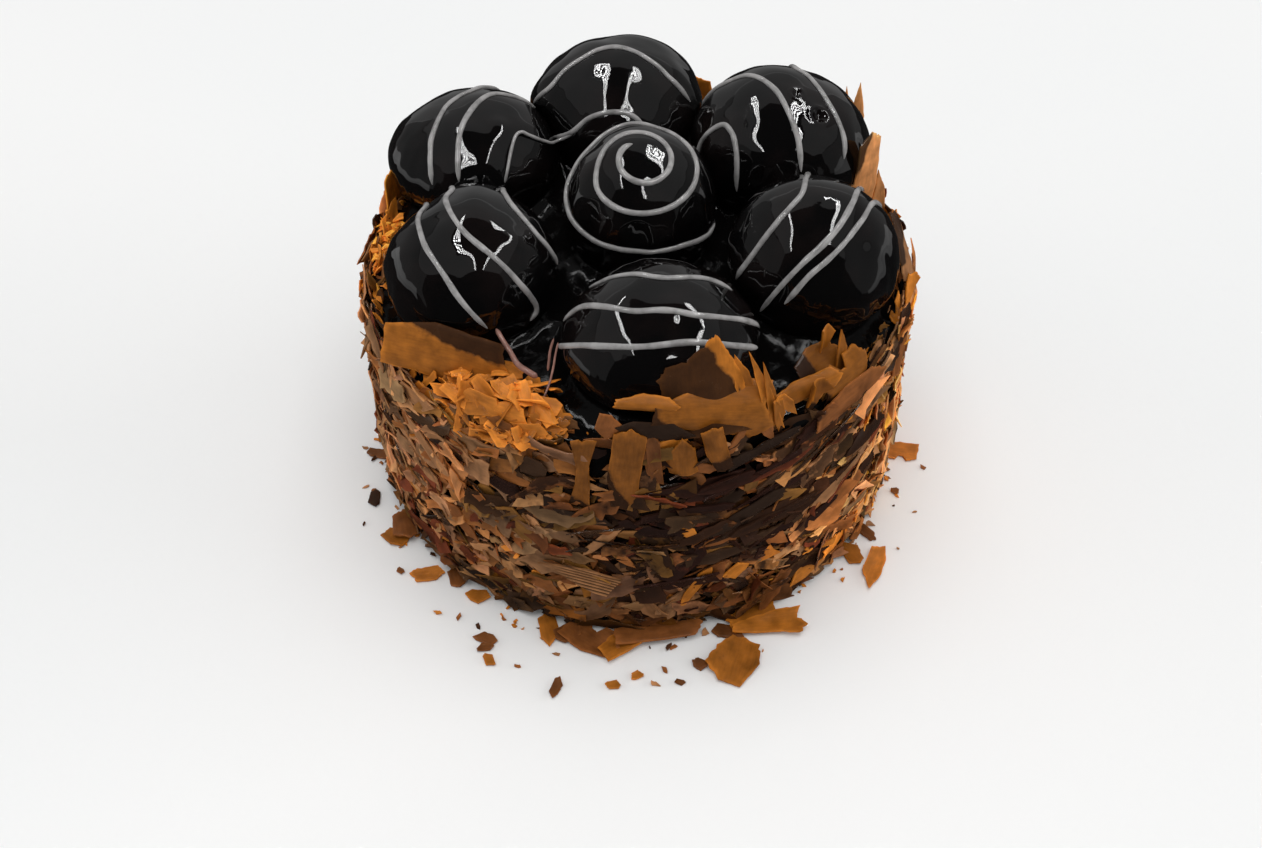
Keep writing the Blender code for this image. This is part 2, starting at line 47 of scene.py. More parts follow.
# The cake's body, as in the solids, and the glazed core inside its coat
BODY_RADIUS = 76.4 * MM
BODY_TOP = 72.5 * MM
FOOT_CHAMFER = 1.2 * MM
RIM_CHAMFER = 1.5 * MM
CORE_INSET = 0.4 * MM
CORE_SPOKES = 288
CORE_LUMPS = (0.6 * MM, 5 * MM, 41)

# The poured glaze: its depth, how it climbs a profiterole and webs two, and its waves (height, size and seed)
POOL_DEPTH = 1.1 * MM
CLIMB = (3.0 * MM, 1.6 * MM)
WEB = (11 * MM, 7 * MM)
POOL_WAVES = ((0.35 * MM, 9 * MM, 31), (0.3 * MM, 3.2 * MM, 33))

# Where glaze ran over the rim: strength, azimuth and spread
SPILLS = ((1, -56, 7), (0.7, -97, 4))
SPILL_DEPTH = 1.7 * MM
SPILL_HEIGHTS = (44 * MM, 68 * MM)
SPILL_RUNS = (6 * MM, 6 * MM, 51)

# The profiteroles, as in the solids: plan position, half width, height, and swells in hundredths
PUFFS = table("name x y half_width height swells", "x y half_width height", (
    ("centre", 0.7, 2.6, 21.9, 37.7, (-2, -1, 3, -6, 1, 0)),
    ("front", 5.2, -47.8, 25.7, 27.7, (2, -4, 3, -7, -1, -9)),
    ("right", 46.5, -20.4, 22.7, 37, (2, 1, -2, 3, -1, 1)),
    ("back_right", 41.9, 31.5, 26.2, 37.4, (0, -4, 1, 3, -1, 0)),
    ("back", -5.8, 52.2, 25.6, 35.8, (-1, 4, -1, -1, 1, 0)),
    ("back_left", -47.5, 31.6, 24.4, 29.5, (0, 1, 0, -3, 5, 2)),
    ("left", -44.4, -23, 23.5, 34, (-2, -1, 6, -9, 0, 2)),
))
SWELL_SPOTS = ((0, 80), (35, 60), (90, 45), (145, 60), (180, 80), (270, 75))
SWELL_SPREAD = 38
SEAT_GAP = 0.3 * MM
TOUCH_GAP = 0.25 * MM
TOUCH_SOFTNESS = 1.5 * MM
TOUCH_FACING = 0.3
PUFF_MIDDLE = 0.42
PUFF_BELLY = 0.50
PUFF_BELLY_POWER = 2.4
PUFF_DETAIL = 6

# The glaze's relief on a profiterole: lumps, ripples and runs, each a feature size and a height
LUMPS = (12 * MM, 0.85 * MM)
RIPPLES = (5.5 * MM, 0.2 * MM)
RUNS = (3.4 * MM, 0.24 * MM)
RUN_STRETCH = 4
SMOOTH_FOOT = 3 * MM

# Burst bubbles, knobs and folds in the glaze: bearing, angle from the top, angular size and height
BUBBLES = {
    "back_right": ((300, 15, 4.5, 0.9), (308, 39, 6.5, 1.5)),
    "front": ((101, 45, 4.5, 0.8),),
}
KNOBS = {
    "back": ((190, 78, 15, 1.6),),
    "back_right": ((304, 27, 6, 0.35),),
    "left": ((285, 52, 9, 0.9), (330, 45, 8, 0.7), (255, 68, 12, -0.8)),
    "front": ((300, 40, 10, -0.7), (250, 62, 8, 0.8), (285, 75, 9, -0.9)),
    "right": ((300, 80, 12, 0.9), (240, 50, 9, 0.7), (318, 58, 8, 0.7)),
    "centre": ((250, 40, 9, 0.7), (300, 35, 8, 0.6)),
    "back_left": ((285, 60, 9, 0.9), (320, 35, 9, 0.7)),
}

# The piped lines, as in the solids: (bearing, angle from the top) pairs, in degrees
LINE_RADIUS = 0.8 * MM
LINE_LIFT = 0.1 * MM
LINE_TAIL = 3.5 * MM
LINE_CLEARANCE = 0.3 * MM
LINE_SHARPNESS = 60
STROKES = {
    "front": (
        ((153, 66), (139, 40), (111, 17), (45, 22), (29, 45), (22, 66)),
        ((175, 82), (180, 62), (196, 47), (225, 34), (262, 26), (299, 30), (322, 43), (343, 60), (3, 86)),
        ((186, 92), (208, 74), (225, 65), (259, 56), (297, 56), (321, 67), (347, 87)),
    ),
    "left": (
        ((128, 72), (144, 45), (169, 40), (201, 38), (231, 44), (253, 55), (265, 67), (274, 78), (284, 93)),
        ((108, 62), (112, 36), (132, 26), (207, 12), (269, 24), (290, 38), (310, 68), (320, 92), (314, 100)),
        ((72, 70), (55, 45), (29, 37), (5, 44), (354, 57), (355, 72), (359, 87)),
    ),
    "right": (
        ((90, 70), (95, 40), (107, 23), (177, 11), (212, 24), (215, 39), (214, 55), (211, 72), (205, 89)),
        ((52, 75), (24, 33), (339, 24), (295, 31), (271, 43), (256, 55), (244, 72), (230, 100)),
        ((35, 80), (9, 43), (324, 36), (294, 43), (275, 53), (260, 65), (247, 86)),
    ),
    "back_right": (
        ((152, 80), (156, 60), (150, 37), (161, 21), (228, 13), (267, 28), (277, 50), (278, 72)),
        ((84, 75), (72, 29), (37, 23), (341, 30), (325, 45), (318, 56), (310, 71)),
        ((196, 90), (198, 74), (207, 57), (219, 56), (229, 62), (235, 73), (238, 90)),
    ),
    "back": (
        ((190, 92), (192, 80), (202, 60), (196, 42), (185, 12), (341, 4), (337, 33), (333, 49), (336, 70)),
        ((216, 92), (237, 78), (248, 66), (262, 60), (279, 61), (290, 70)),
    ),
    "back_left": (
        ((70, 75), (89, 38), (121, 26), (171, 24), (212, 35), (229, 51), (239, 65), (245, 78)),
        ((30, 64), (43, 40), (51, 27), (29, 6), (260, 20), (259, 41), (262, 59), (264, 73)),
    ),
}
SPIRAL_AXIS = (268, 20)
SPIRAL = (
    (110, 14), (208, 15), (282, 19), (347, 22), (439, 28), (525, 29), (578, 37), (648, 40),
    (722, 44), (790, 48), (850, 54), (900, 70), (971, 68), (1020, 72), (1062, 88),
)  # fmt: skip
STROKE_STEPS = 130
SPIRAL_STEPS = 420

# Lines that leave the profiteroles: a radius, a colour and points
TRAILS = (
    (0.48, "icing", (
        (-37.2, 9.8, 91), (-36.5, 11.9, 93.5), (-35.5, 16.8, 97), (-34.4, 21.4, 98.7), (-32.8, 23.3, 98.8),
        (-30.8, 23.7, 97.5), (-28.2, 24.4, 95.7), (-26.3, 25.6, 94.1), (-24.6, 27.4, 92.4), (-22.8, 31, 90.9),
        (-20.6, 31, 91.8), (-18.6, 31, 93.2),
    )),
    (0.8, "pink_icing", (
        (-36.4, -46, 85.5), (-34.5, -49, 84), (-32.6, -52, 83), (-30.6, -55.5, 82), (-28, -57.6, 81.4),
        (-25.4, -59, 80.6),
    )),
    (0.35, "pink_icing", ((-21.3, -52, 87.5), (-22.2, -53.6, 85), (-22.6, -55, 82.5), (-22.9, -56.5, 80.5))),
    (0.3, "pink_icing", (
        (-20.2, -53, 87), (-20.9, -55, 84.5), (-21.5, -57.5, 82), (-22.6, -61, 79.5), (-24.6, -65.5, 77),
        (-26, -68, 75.5),
    )),
)  # fmt: skip
TRAIL_STEPS = 60
TRAIL_TAIL = 1 * MM
TRAIL_UP = (0.0, -0.4, 0.9)

# How the shavings are made: seeds, grids of columns and rows, thicknesses, torn edges and gaps
SHAVING_SEED = 700
SHEET_THICKNESS = 0.75 * MM
SLAB_THICKNESS = 0.7 * MM
CHIP_THICKNESS = 0.6 * MM
THIN_EDGES = {"sheet": 0.55, "chip": 0.7}
SHEET_TEAR = 0.07
SLAB_TEAR = 0.12
HEAP_TEAR = 0.08
DEEP_TEAR_SHARE = 0.2
WAVE_SIZE = 5 * MM
WAVE_LIMIT = 0.4 * MM
LARGE_GRID, MIDDLE_GRID, SMALL_GRID = (9, 4), (5, 3), (4, 2)
CHIP_ENDS = (0.2, 0.5, 0.7, 0.85, 0.95, 1.05)
PUFF_CLEARANCE = 0.2 * MM
FLOOR_CLEARANCE = 0.05 * MM
FLOOR_GAP = 0.1 * MM

# How light a shaving is on its face and its broken edges, the edges lighter partly as a painted highlight,
# and how light any may be
FACE_LIGHT = 0.97
EDGE_LIGHT_AND_HIGHLIGHT = 1.3
BRIGHTEST = 0.8
BRIGHTEST_SHEET = 0.85

# The outlines of the broad sheets, as shares of their half length and half width
OUTLINES = {
    "shard": ((-1, -0.5), (-0.95, 0.45), (-0.1, 0.95), (0.7, 0.8), (1.05, 0.2), (0.8, -0.6), (0, -0.9)),
    "blade": ((-1, -0.8), (-0.95, 0.75), (-0.1, 1), (0.6, 0.45), (1.15, 0), (0.3, -0.7)),
    "bar": ((-1, -0.75), (-0.95, 0.6), (-0.2, 0.95), (0.85, 0.8), (1.05, -0.1), (0.8, -0.95), (-0.1, -0.8)),
    "leaf": (
        (-1.05, -0.3), (-1, 0.25), (-0.4, 0.7), (0.3, 1), (0.95, 0.95), (0.8, 0.3), (1, -0.5), (0.7, -1.05),
        (0.1, -0.65), (-0.5, -0.5),
    ),
    "peak": (
        (-1, -0.9), (-1, 1.2), (0, 1.4), (0.35, 1.45), (0.6, 1.25), (0.75, 0.7), (1.15, 0.1), (1.2, -0.1),
        (0.7, -0.45), (0.2, -0.8),
    ),
    "notched": (
        (-1, -0.9), (-1, 0.6), (-0.5, 1), (-0.35, 0.55), (-0.05, 0.5), (0.1, 1), (0.7, 1), (1, 0.4),
        (0.8, -0.5), (0, -0.9),
    ),
    "plate": ((-1, -0.5), (-0.95, 0.35), (-0.45, 1), (0.35, 0.8), (1.05, 0.3), (0.75, -0.75), (0, -0.95)),
    "waisted": (
        (-1, -0.8), (-0.95, 0.7), (-0.3, 0.4), (0.2, 0.45), (0.95, 1), (1, -0.7), (0.3, -0.4), (-0.3, -0.6),
    ),
}  # fmt: skip

# The large sheets, placed as in the solids, with an outline, a finish and its strength, a curl, and the
# direction and level of the glazed part
CLEAN = 2
# Each sheet's strength holds its own tone together with painted light and shade, set sheet by sheet: the tall
# sheets that face away from the lamps are painted lighter
SHEET_FIELDS = "azimuth reach height length width roll lean swing shape finish shade cup dip level"
SHEETS = table(SHEET_FIELDS, "reach height length width", (
    (-134.5, 68.5, 80.5, 35, 17, -2, -20, 27, "bar", "ochre", 0.66, -0.15, 70, 0.42),
    (-75.8, 76, 82.5, 31, 16, -9, -22, 0, "leaf", "ochre", 0.46, -0.5, 200, 0.9),
    (-88.6, 75.5, 86.8, 16, 5, -6, -8, 0, "shard", "ochre", 0.62, -1.1, 0, CLEAN),
    (-75, 71.5, 87.5, 23, 19, 88, -27, 0, "peak", "ochre", 0.75, -0.15, 125, -0.5),
    (-69.5, 73, 88.5, 12, 5.5, 100, -22, 0, "blade", "ochre", 0.7, 0.4, 0, CLEAN),
    (-65.8, 76.6, 84.5, 25, 4.2, 106, -8, 0, "blade", "ochre", 0.8, 0.6, 180, 1.1),
    (-64.8, 77.2, 83, 22, 3.6, 101, -4, 0, "blade", "ochre", 0.62, 0.6, 180, 0.8),
    (-61.5, 77.8, 80, 10, 3.6, -56, 0, 0, "blade", "ochre", 0.7, 0.4, 0, CLEAN),
    (-63.5, 78, 78, 11, 3.6, -84, 0, 0, "blade", "ochre", 0.6, 0.4, 0, CLEAN),
    (-66.2, 78.4, 75.5, 13, 4.2, -64, 0, 0, "blade", "brown", 0.95, 0.4, 0, CLEAN),
    (-46, 68.5, 82.5, 13, 4.5, 86, 0, 0, "leaf", "ochre", 0.66, 0.6, 0, CLEAN),
    (-49, 70, 80, 15, 10, 0, -50, 0, "shard", "ochre", 0.34, -0.2, 180, 0.4),
    (-44, 72.5, 81, 11, 5, 74, -14, 0, "blade", "ochre", 0.5, 0.3, 0, CLEAN),
    (-45, 76, 76.5, 17, 11, 2, -18, 0, "notched", "ochre", 0.44, -0.4, 200, 1),
    (-56, 75.5, 80, 21, 6, 0, -38, 0, "bar", "ochre", 0.52, -0.5, 200, 0.9),
    (-55, 77.6, 78, 11, 6.5, 76, 0, 0, "leaf", "ochre", 0.5, 1, 180, 0.5),
    (-45.5, 78.4, 70.5, 27, 10, 5, -2, 0, "shard", "brown", 0.85, -0.3, 150, 0.9),
    (-92.3, 79.2, 67, 30, 9.5, 86, 2, 0, "bar", "ochre", 0.4, -0.3, 150, 0.45),
    (-100.3, 79, 64.5, 26, 7.5, 84, 2, 0, "waisted", "ochre", 0.4, 0.25, 170, 0.7),
    (-87, 78.6, 70, 18, 4, 96, 2, 0, "bar", "brown", 0.6, 0.35, 0, CLEAN),
    (-82, 79, 71.8, 13, 9.5, 94, 2, 0, "blade", "ochre", 0.42, -0.5, 200, 1.5),
    (-75.7, 79.4, 73, 17, 6.5, 106, 2, 0, "bar", "ochre", 0.42, -0.35, 180, 0.5),
    (-24, 78.4, 69, 20, 11, 62, -6, 0, "bar", "brown", 0.9, -0.2, 30, 0.1),
    (-14, 77, 76.5, 9, 4.5, 70, -16, -40, "leaf", "ochre", 1.15, 0.3, 0, CLEAN),
    (-4, 74.5, 79, 26, 10, 16, -30, 0, "bar", "milk", 0.75, -0.3, 60, 0.3),
    (14.4, 67.5, 87.5, 29, 11, 90, 0, -62, "bar", "tan", 1.35, -0.1, 45, 0.75),
    (16.5, 73.5, 79, 15, 5, 96, 0, -80, "blade", "tan", 1.15, 0.2, 0, CLEAN),
    (35.5, 77, 85, 26, 7, 88, 0, -112, "blade", "tan", 1.25, -0.2, 0, CLEAN),
    (38.5, 77, 83.5, 23, 5, 92, 0, -120, "blade", "tan", 1.15, -0.2, 0, CLEAN),
    (75, 76.5, 75, 21, 11, 84, 2, 0, "bar", "ochre", 0.9, 0.2, 0, CLEAN),
    (62, 76.5, 74, 20, 10, 100, 2, 0, "shard", "brown", 1, 0.2, 40, 0.3),
    (122, 76, 74, 20, 12, 76, 2, 0, "bar", "brown", 1, -0.2, 120, 0.2),
    (162, 72.5, 74.5, 20, 10, 95, 0, 0, "shard", "ochre", 1.2, -0.2, 0, CLEAN),
    (-177, 72.5, 73, 15, 8, 70, 0, 0, "shard", "ochre", 1, 0.2, 0, CLEAN),
))
STEP_OUT = 0.5 * MM
STEPS_OUT = 8
GLAZED_EDGE = 1.8

# The shavings that lean on the rim and the foot, as in the solids
RIM_SHAVINGS = 24
RIM_LENGTHS = (15 * MM, 9 * MM)
RIM_ROLL = 75
RIM_LEAN = (-35, 20)
RIM_INSET = 1 * MM
FOOT_SHAVINGS = 7
FOOT_LENGTHS = (13 * MM, 8 * MM)
FOOT_LEAN = (-35, -15)
FOOT_OUTSET = 1 * MM
SLIMNESS = (0.4, 0.6)

# The small shavings along the rim, and the bright shreds at its left
RIM_CHIPS = 300
RIM_CHIP_PAINTS = ("ochre", "ochre", "brown", "milk", "olive")
RIM_LIMIT = 1.3 * MM
SHREDS = 110
SHRED_AZIMUTH = 176

# The shavings on the wall that stand out by size or colour, and how far they stand out
WALL_CHIP_OUTSET = 1.9 * MM
CHIP_FIELDS = "azimuth height length width roll finish wet"
WALL_CHIPS = table(CHIP_FIELDS, "height length width", (
    (-117, 27, 4.5, 2.2, 25, "bright", 0),
    (-110.5, 20.5, 4, 2, -12, "bright", 0),
    (-115, 25, 3, 1.6, 60, "bright", 0),
    (-129, 57, 18, 5.5, 3, "milk", 0),
    (-136, 50, 23, 4.5, -36, "milk", 0.1),
    (-138, 67, 15, 6, 4, "milk", 0.1),
    (-138, 39, 14, 8, -20, "milk", 0.42),
    (-123, 35, 13, 4, 50, "red_brown", 0),
    (-114, 39, 14, 7, -43, "olive", 0.3),
    (-116, 52, 12, 7, -14, "red_brown", 0.9),
    (-110, 63, 9, 7, -7, "milk", 0.8),
    (-104, 54, 9, 3.5, -5, "brown", 0),
    (-101, 47.5, 17, 4, -8, "grey_brown", 0.6),
    (-99, 44.5, 14, 4, -10, "brown", 0.2),
    (-97, 39, 18, 3.2, 49, "milk", 0),
    (-105, 39, 12, 4.5, -8, "grey_brown", 0.2),
    (-88, 70, 14, 3, 97, "brown", 0),
    (-71, 66, 10, 3.5, 12, "red_brown", 0.3),
    (-68, 45, 26, 6, 23, "grey_brown", 0.95),
    (-75, 36.5, 15, 4, -2, "brown", 0.3),
    (-74, 32, 11, 4, 2, "olive", 0.3),
    (-81, 43, 8, 4, -40, "ochre", 0),
    (-80, 47, 11, 5, -25, "red_brown", 0.35),
    (-78.5, 19, 20, 3.6, 61, "ochre", 0),
    (-68, 56, 6, 4.5, 80, "olive", 0),
    (-70, 22, 9, 6, 35, "ochre", 0.2),
    (-54, 39, 10, 2.6, 77, "milk", 0),
    (-50, 9, 20, 7, 20, "ochre", 0),
    (-110, 17, 13, 6, -13, "brown", 0),
    (-128, 28.5, 14, 5, -47, "brown", 0.1),
    (-87, 80.5, 20, 7, -3, "grey_brown", 1),
    (-84.3, 76, 10, 3.2, 22, "ochre", 0),
    (-88.6, 56, 12, 9, 75, "olive", 0),
    (-84, 55, 7, 4, 60, "olive", 0),
    (-72.5, 71.5, 8, 1.3, -50, "milk", 0),
    (-78, 66, 9, 4, -20, "brown", 0.3),
    (-95.3, 82, 9, 6.5, 70, "brown", 0.1),
    (-72, 73, 11, 3, 60, "brown", 0.3),
))

# Long glazed shavings that climb to the right on the front right of the wall
RIDGES = 34
RIDGE_AZIMUTHS = (-82, -32)
RIDGE_HEIGHTS = (22 * MM, 68 * MM)
RIDGE_PAINTS = ("grey_brown", "brown", "milk", "red_brown")

# The shaving with scraped ribs
RIBBED_CHIP = table(CHIP_FIELDS, "height length width", ((-101.5, 25, 20, 8, -8, "milk", 0),))[0]
RIBBED_OUTSET = 3 * MM
RIB_PITCH = 1.15 * MM
RIB_DEPTH = 0.5 * MM
RIBBED_GRID = (19, 73)

# The coat of the wall, in three sizes: how many, their sizes, how far they stand out, their curl and tilt
WallKind = namedtuple("WallKind", "count lengths slimness grid proud curl twist tip edge")
# The edge column makes broken edges lighter, partly as a painted highlight
WALL_KINDS = (
    WallKind(560, (11 * MM, 20 * MM), (0.24, 0.42), LARGE_GRID, (0.5 * MM, 1.9 * MM), 0.2, 12, 6, 1.5),
    WallKind(2000, (6 * MM, 12 * MM), (0.28, 0.52), MIDDLE_GRID, (0.1 * MM, 1.4 * MM), 0.16, 16, 9, 1.25),
    WallKind(3800, (2.5 * MM, 6 * MM), (0.3, 0.7), SMALL_GRID, (0, 1 * MM), 0.1, 24, 16, 1.0),
)
# Painted shade and light: shavings that lie deep in the coat are darkened, those that stand proud are
# lightened
DEEP_PAINTED_SHADE = 0.55
PROUD_PAINTED_LIGHT = 1.2

# Where the coat is soaked with glaze, and where it is bare: strength, azimuth, spread, and the heights
# between which it sets in
STAINS = ((0.8, -72, 24, 14, 32), (0.22, -104, 12, 18, 40), (0.3, 95, 60, 10, 40))
BARE_PATCHES = ((0.55, -72, 22, 30, 62), (0.35, -101, 9, 35, 55))

# The heap of small bright shavings on the rim, as in the solids, and the ranges of its curls and sticks:
# lengths, widths (a share of the length, or for a stick its own), sides and rises
HEAP_AZIMUTH = -119
HEAP_SPREAD = 13
HEAP_REACH = 70.5 * MM
HEAP_HEIGHT = 71.5 * MM
HEAP_SIZE = (17 * MM, 8.5 * MM, 9 * MM)
HEAP_CORE = 0.8
HEAP_INWARD = 1.5
HEAP_CURLS = 96
HEAP_STICKS = 80
CURL_RANGES = ((6.5, 12.5), (0.36, 0.6), (-1, 1), (-25, 145))
STICK_RANGES = ((4, 8.5), (0.9, 1.8), (-0.2, 1.05), (-45, 5))

# The slabs against the foot, as in the solids, and the shavings that lie loose on the floor
SLAB_FIELDS = ("azimuth reach length width turn finish shape", "reach length width")
SLABS = table(*SLAB_FIELDS, (
    (-66, 79.5, 16, 10, 12, "ochre", "shard"),
    (-64, 85, 21, 9, -16, "ochre", "leaf"),
    (-86, 79.5, 25, 8, 8, "brown", "bar"),
    (-99, 82, 17, 11, -30, "brown", "notched"),
    (-93, 83, 14, 8, 40, "ochre", "bar"),
    (-150, 80, 12, 8, -20, "brown"),
), defaults=("",))
LOOSE = table(*SLAB_FIELDS, (
    (-73, 92, 17, 15, 55, "ochre", "plate"),
    (-38, 88, 19, 5.5, 15, "bright"),
    (-5, 83, 12, 8, 80, "bright", "notched"),
    (-17, 83, 3, 2.5, 0, "brown"),
    (-137, 84, 12, 5, 60, "bright"),
    (-149, 84, 9, 7, 10, "ochre"),
    (-161, 85, 7, 4, -20, "dark"),
    (-118, 91, 7, 4, 5, "brown"),
    (-117, 94, 5, 3, 30, "brown"),
    (-115, 97, 5, 3, -40, "ochre"),
    (-103, 100, 7, 3, 80, "brown"),
    (-94, 96.5, 4, 3, 10, "ochre"),
    (-83, 96, 3, 2, -20, "brown"),
    (-90, 93, 4, 2.5, 30, "ochre"),
    (-79, 91, 5, 3.5, -50, "brown"),
    (-141, 89, 3, 2, 20, "brown"),
    (-125, 80, 7, 5, 15, "ochre"),
    (-132, 79, 8, 5, -30, "brown"),
    (-108, 81, 12, 6, -60, "ochre"),
    (-104, 81, 9, 6, 40, "brown"),
    (-174, 82, 8, 4, 70, "brown"),
    (-179, 81, 5, 3, 10, "ochre"),
    (-72, 82, 10, 6, -35, "brown"),
    (-38, 80, 9, 6, 60, "ochre"),
    (-31, 80, 8, 4, 75, "brown"),
), defaults=("",))
SLAB_PILE = 0.8 * MM
CRUMBS = 90
CRUMB_SCATTER = 5 * MM
CRUMB_LIMIT = 18 * MM

# Colours as they look in daylight, in 8-bit sRGB steps
PAINTS = {
    "milk": (163, 113, 72),
    "grey_brown": (118, 84, 56),
    "olive": (124, 82, 34),
    "brown": (137, 81, 38),
    "ochre": (190, 114, 36),
    "bright": (228, 138, 50),
    "tan": (184, 122, 70),
    "red_brown": (104, 48, 24),
    "dark": (70, 42, 24),
    "icing": (156, 154, 153),
    "pink_icing": (158, 116, 104),
}

# The camera, from the photograph's viewing angle
CAMERA_PLACE = (-1.8 * MM, -329.7 * MM, 333.7 * MM)
CAMERA_PITCH = 44.9
CAMERA_LENS = 41.85
CAMERA_SENSOR = 36

# The soft lights for matt surfaces, and the panels that only show as reflections: place, target, size and
# radiance, in metres
SOFT_LIGHTS = {
    "overhead_soft": ((0, -0.4, 12), (0, -0.2, 0), (12, 12), 1.95),
    "side_right_soft": ((10.4, 0, 2.8), (0, 0, 0.4), (9.6, 4), 3.6),
    "side_left_soft": ((-10.4, 0, 2.8), (0, 0, 0.4), (9.6, 4), 2.0),
}
PANELS = {
    "ceiling_behind": ((0, 0.42, 0.44), (0, 0.42, 0), (0.9, 0.5), 0.3),
    "ceiling_left": ((-0.31, -0.09, 0.44), (-0.31, -0.09, 0), (0.28, 0.52), 0.3),
    "ceiling_right": ((0.31, -0.09, 0.44), (0.31, -0.09, 0), (0.28, 0.52), 0.3),
    "wall_behind": ((0, 0.66, 0.24), (0, 0, 0.24), (1.0, 0.44), 0.32),
    "wall_left": ((-0.46, 0.12, 0.24), (0, 0.12, 0.24), (1.0, 0.4), 0.16),
    "wall_right": ((0.46, 0.12, 0.24), (0, 0.12, 0.24), (1.0, 0.4), 0.16),
    "low_left": ((-0.42, 0.02, 0.05), (0, 0, 0.09), (0.5, 0.09), 0.6),
    "low_right": ((0.42, 0.02, 0.05), (0, 0, 0.09), (0.5, 0.09), 0.4),
}
FLOOR_SIZE = 8
BACKDROP_LIGHT = 0.85
WORLD_LIGHT = 0.46
WORLD_GLOW = 0.02

# Two strips of small bright lamps over the cake
LAMP_STRIPS = (-0.135, 0.135)
LAMP_HEIGHT = 0.42
LAMP_FRONT = -0.30
LAMP_PITCH = 9 * MM
LAMP_HALF = 2.2 * MM
LAMP_COLUMNS = 4
LAMP_ROWS = 58
LAMP_STRENGTH = 50


def paint(name):
    """A colour's linear value."""
    steps = np.array(PAINTS[name]) / 255
    return np.where(steps <= 0.04045, steps / 12.92, ((steps + 0.055) / 1.055) ** 2.4)


def smoothstep(low, high, value):
    share = np.clip((value - low) / (high - low), 0, 1)
    return share * share * (3 - 2 * share)


def soft_minimum(a, b, softness):
    """The smaller of two lengths, rounded off where they are nearly the same."""
    share = np.maximum(softness - np.abs(a - b), 0.0) / softness
    return np.minimum(a, b) - share * share * softness / 4


def bell(share):
    return np.exp(-(share**2))


def near(azimuth, middle, spread):
    """How near one azimuth is to another, from 1 down to 0."""
    turn = (azimuth - middle + 180) % 360 - 180
    return math.exp(-((turn / spread) ** 2))


def unit(vectors):
    return vectors / np.linalg.norm(vectors, axis=-1, keepdims=True)


def compass(bearing, fall):
    """The unit vector at a plan bearing and an angle from the top, both in degrees."""
    turn, drop = math.radians(bearing), math.radians(fall)
    return np.array((math.sin(drop) * math.cos(turn), math.sin(drop) * math.sin(turn), math.cos(drop)))


def degrees_from(directions, bearing, fall):
    return np.degrees(np.arccos(np.clip(directions @ compass(bearing, fall), -1, 1)))


def ripple(points, size, seed):
    """Smooth noise at each point, from about -1 to 1, with features of the given size."""
    shift = Vector((17.3 * seed, 9.1 * seed, 5.7 * seed))
    return np.array([noise.noise(Vector(point) / size + shift) for point in points])


def smooth_course(points, count):
    """Count points evenly spaced in parameter on a Catmull-Rom curve through the given ones."""
    points = [np.array(point, float) for point in points]
    ends = [2 * points[0] - points[1], *points, 2 * points[-1] - points[-2]]
    spans = len(points) - 1
    course = []
    for k in range(count):
        place = k / (count - 1) * spans
        span = min(int(place), spans - 1)
        t = place - span
        a, b, c, d = ends[span : span + 4]
        bend = (c - a) * t + (2 * a - 5 * b + 4 * c - d) * t**2 + (3 * b - a - 3 * c + d) * t**3
        course.append(b + 0.5 * bend)
    return np.array(course)


def band(low, high, count):
    """The faces between two rings of points, which start at low and high."""
    afters = [(k + 1) % count for k in range(count)]
    return [(low + k, low + after, high + after, high + k) for k, after in enumerate(afters)]


def fan(middle, ring, count):
    """The faces between a middle point and a ring of points."""
    return [(middle, ring + k, ring + (k + 1) % count) for k in range(count)]


def flipped(faces):
    """Faces turned over, each from the same corner."""
    return [face[:1] + face[:0:-1] for face in faces]


def icosphere(detail):
    """The points and faces of a ball of radius 1."""
    bm = bmesh.new()
    bmesh.ops.create_icosphere(bm, subdivisions=detail, radius=1)
    points = np.array([vert.co for vert in bm.verts])
    faces = [tuple(vert.index for vert in face.verts) for face in bm.faces]
    bm.free()
    return points, faces


def puff_middle(puff):
    return np.array((puff.x, puff.y, BODY_TOP + SEAT_GAP + PUFF_MIDDLE * puff.height))


def puff_reach(puff, directions):
    """How far a profiterole's plain skin lies from its middle, along unit vectors."""
    flat = np.hypot(directions[:, 0], directions[:, 1]) / puff.half_width
    rising = directions[:, 2] > 0
    depth = np.where(rising, 1 - PUFF_MIDDLE, PUFF_BELLY) * puff.height
    power = np.where(rising, 2, PUFF_BELLY_POWER)
    reach = (flat**power + (np.abs(directions[:, 2]) / depth) ** power) ** (-1 / power)
    swelling = 1
    for spot, swell in zip(SWELL_SPOTS, puff.swells):
        swelling = swelling + swell / 100 * bell(degrees_from(directions, *spot) / SWELL_SPREAD)
    reach = reach * swelling
    for other in PUFFS:
        apart = np.array((other.x - puff.x, other.y - puff.y, 0))
        distance = np.linalg.norm(apart)
        if other is puff or distance > 2 * (puff.half_width + other.half_width):
            continue
        facing = directions @ (apart / distance)
        share = puff.half_width / (puff.half_width + other.half_width)
        wall = (distance * share - TOUCH_GAP) / np.maximum(facing, TOUCH_FACING)
        reach = np.where(facing > TOUCH_FACING, soft_minimum(reach, wall, TOUCH_SOFTNESS), reach)
    return reach


def puff_gaps(points):
    """How far each point lies from each profiterole's skin, below zero inside it, as one column a puff."""
    columns = []
    for puff in PUFFS:
        away = points - puff_middle(puff)
        distance = np.linalg.norm(away, axis=1)
        columns.append(distance - puff_reach(puff, away / np.maximum(distance, 1e-9)[:, None]))
    return np.array(columns).T


def least_gap(points):
    return puff_gaps(points).min()


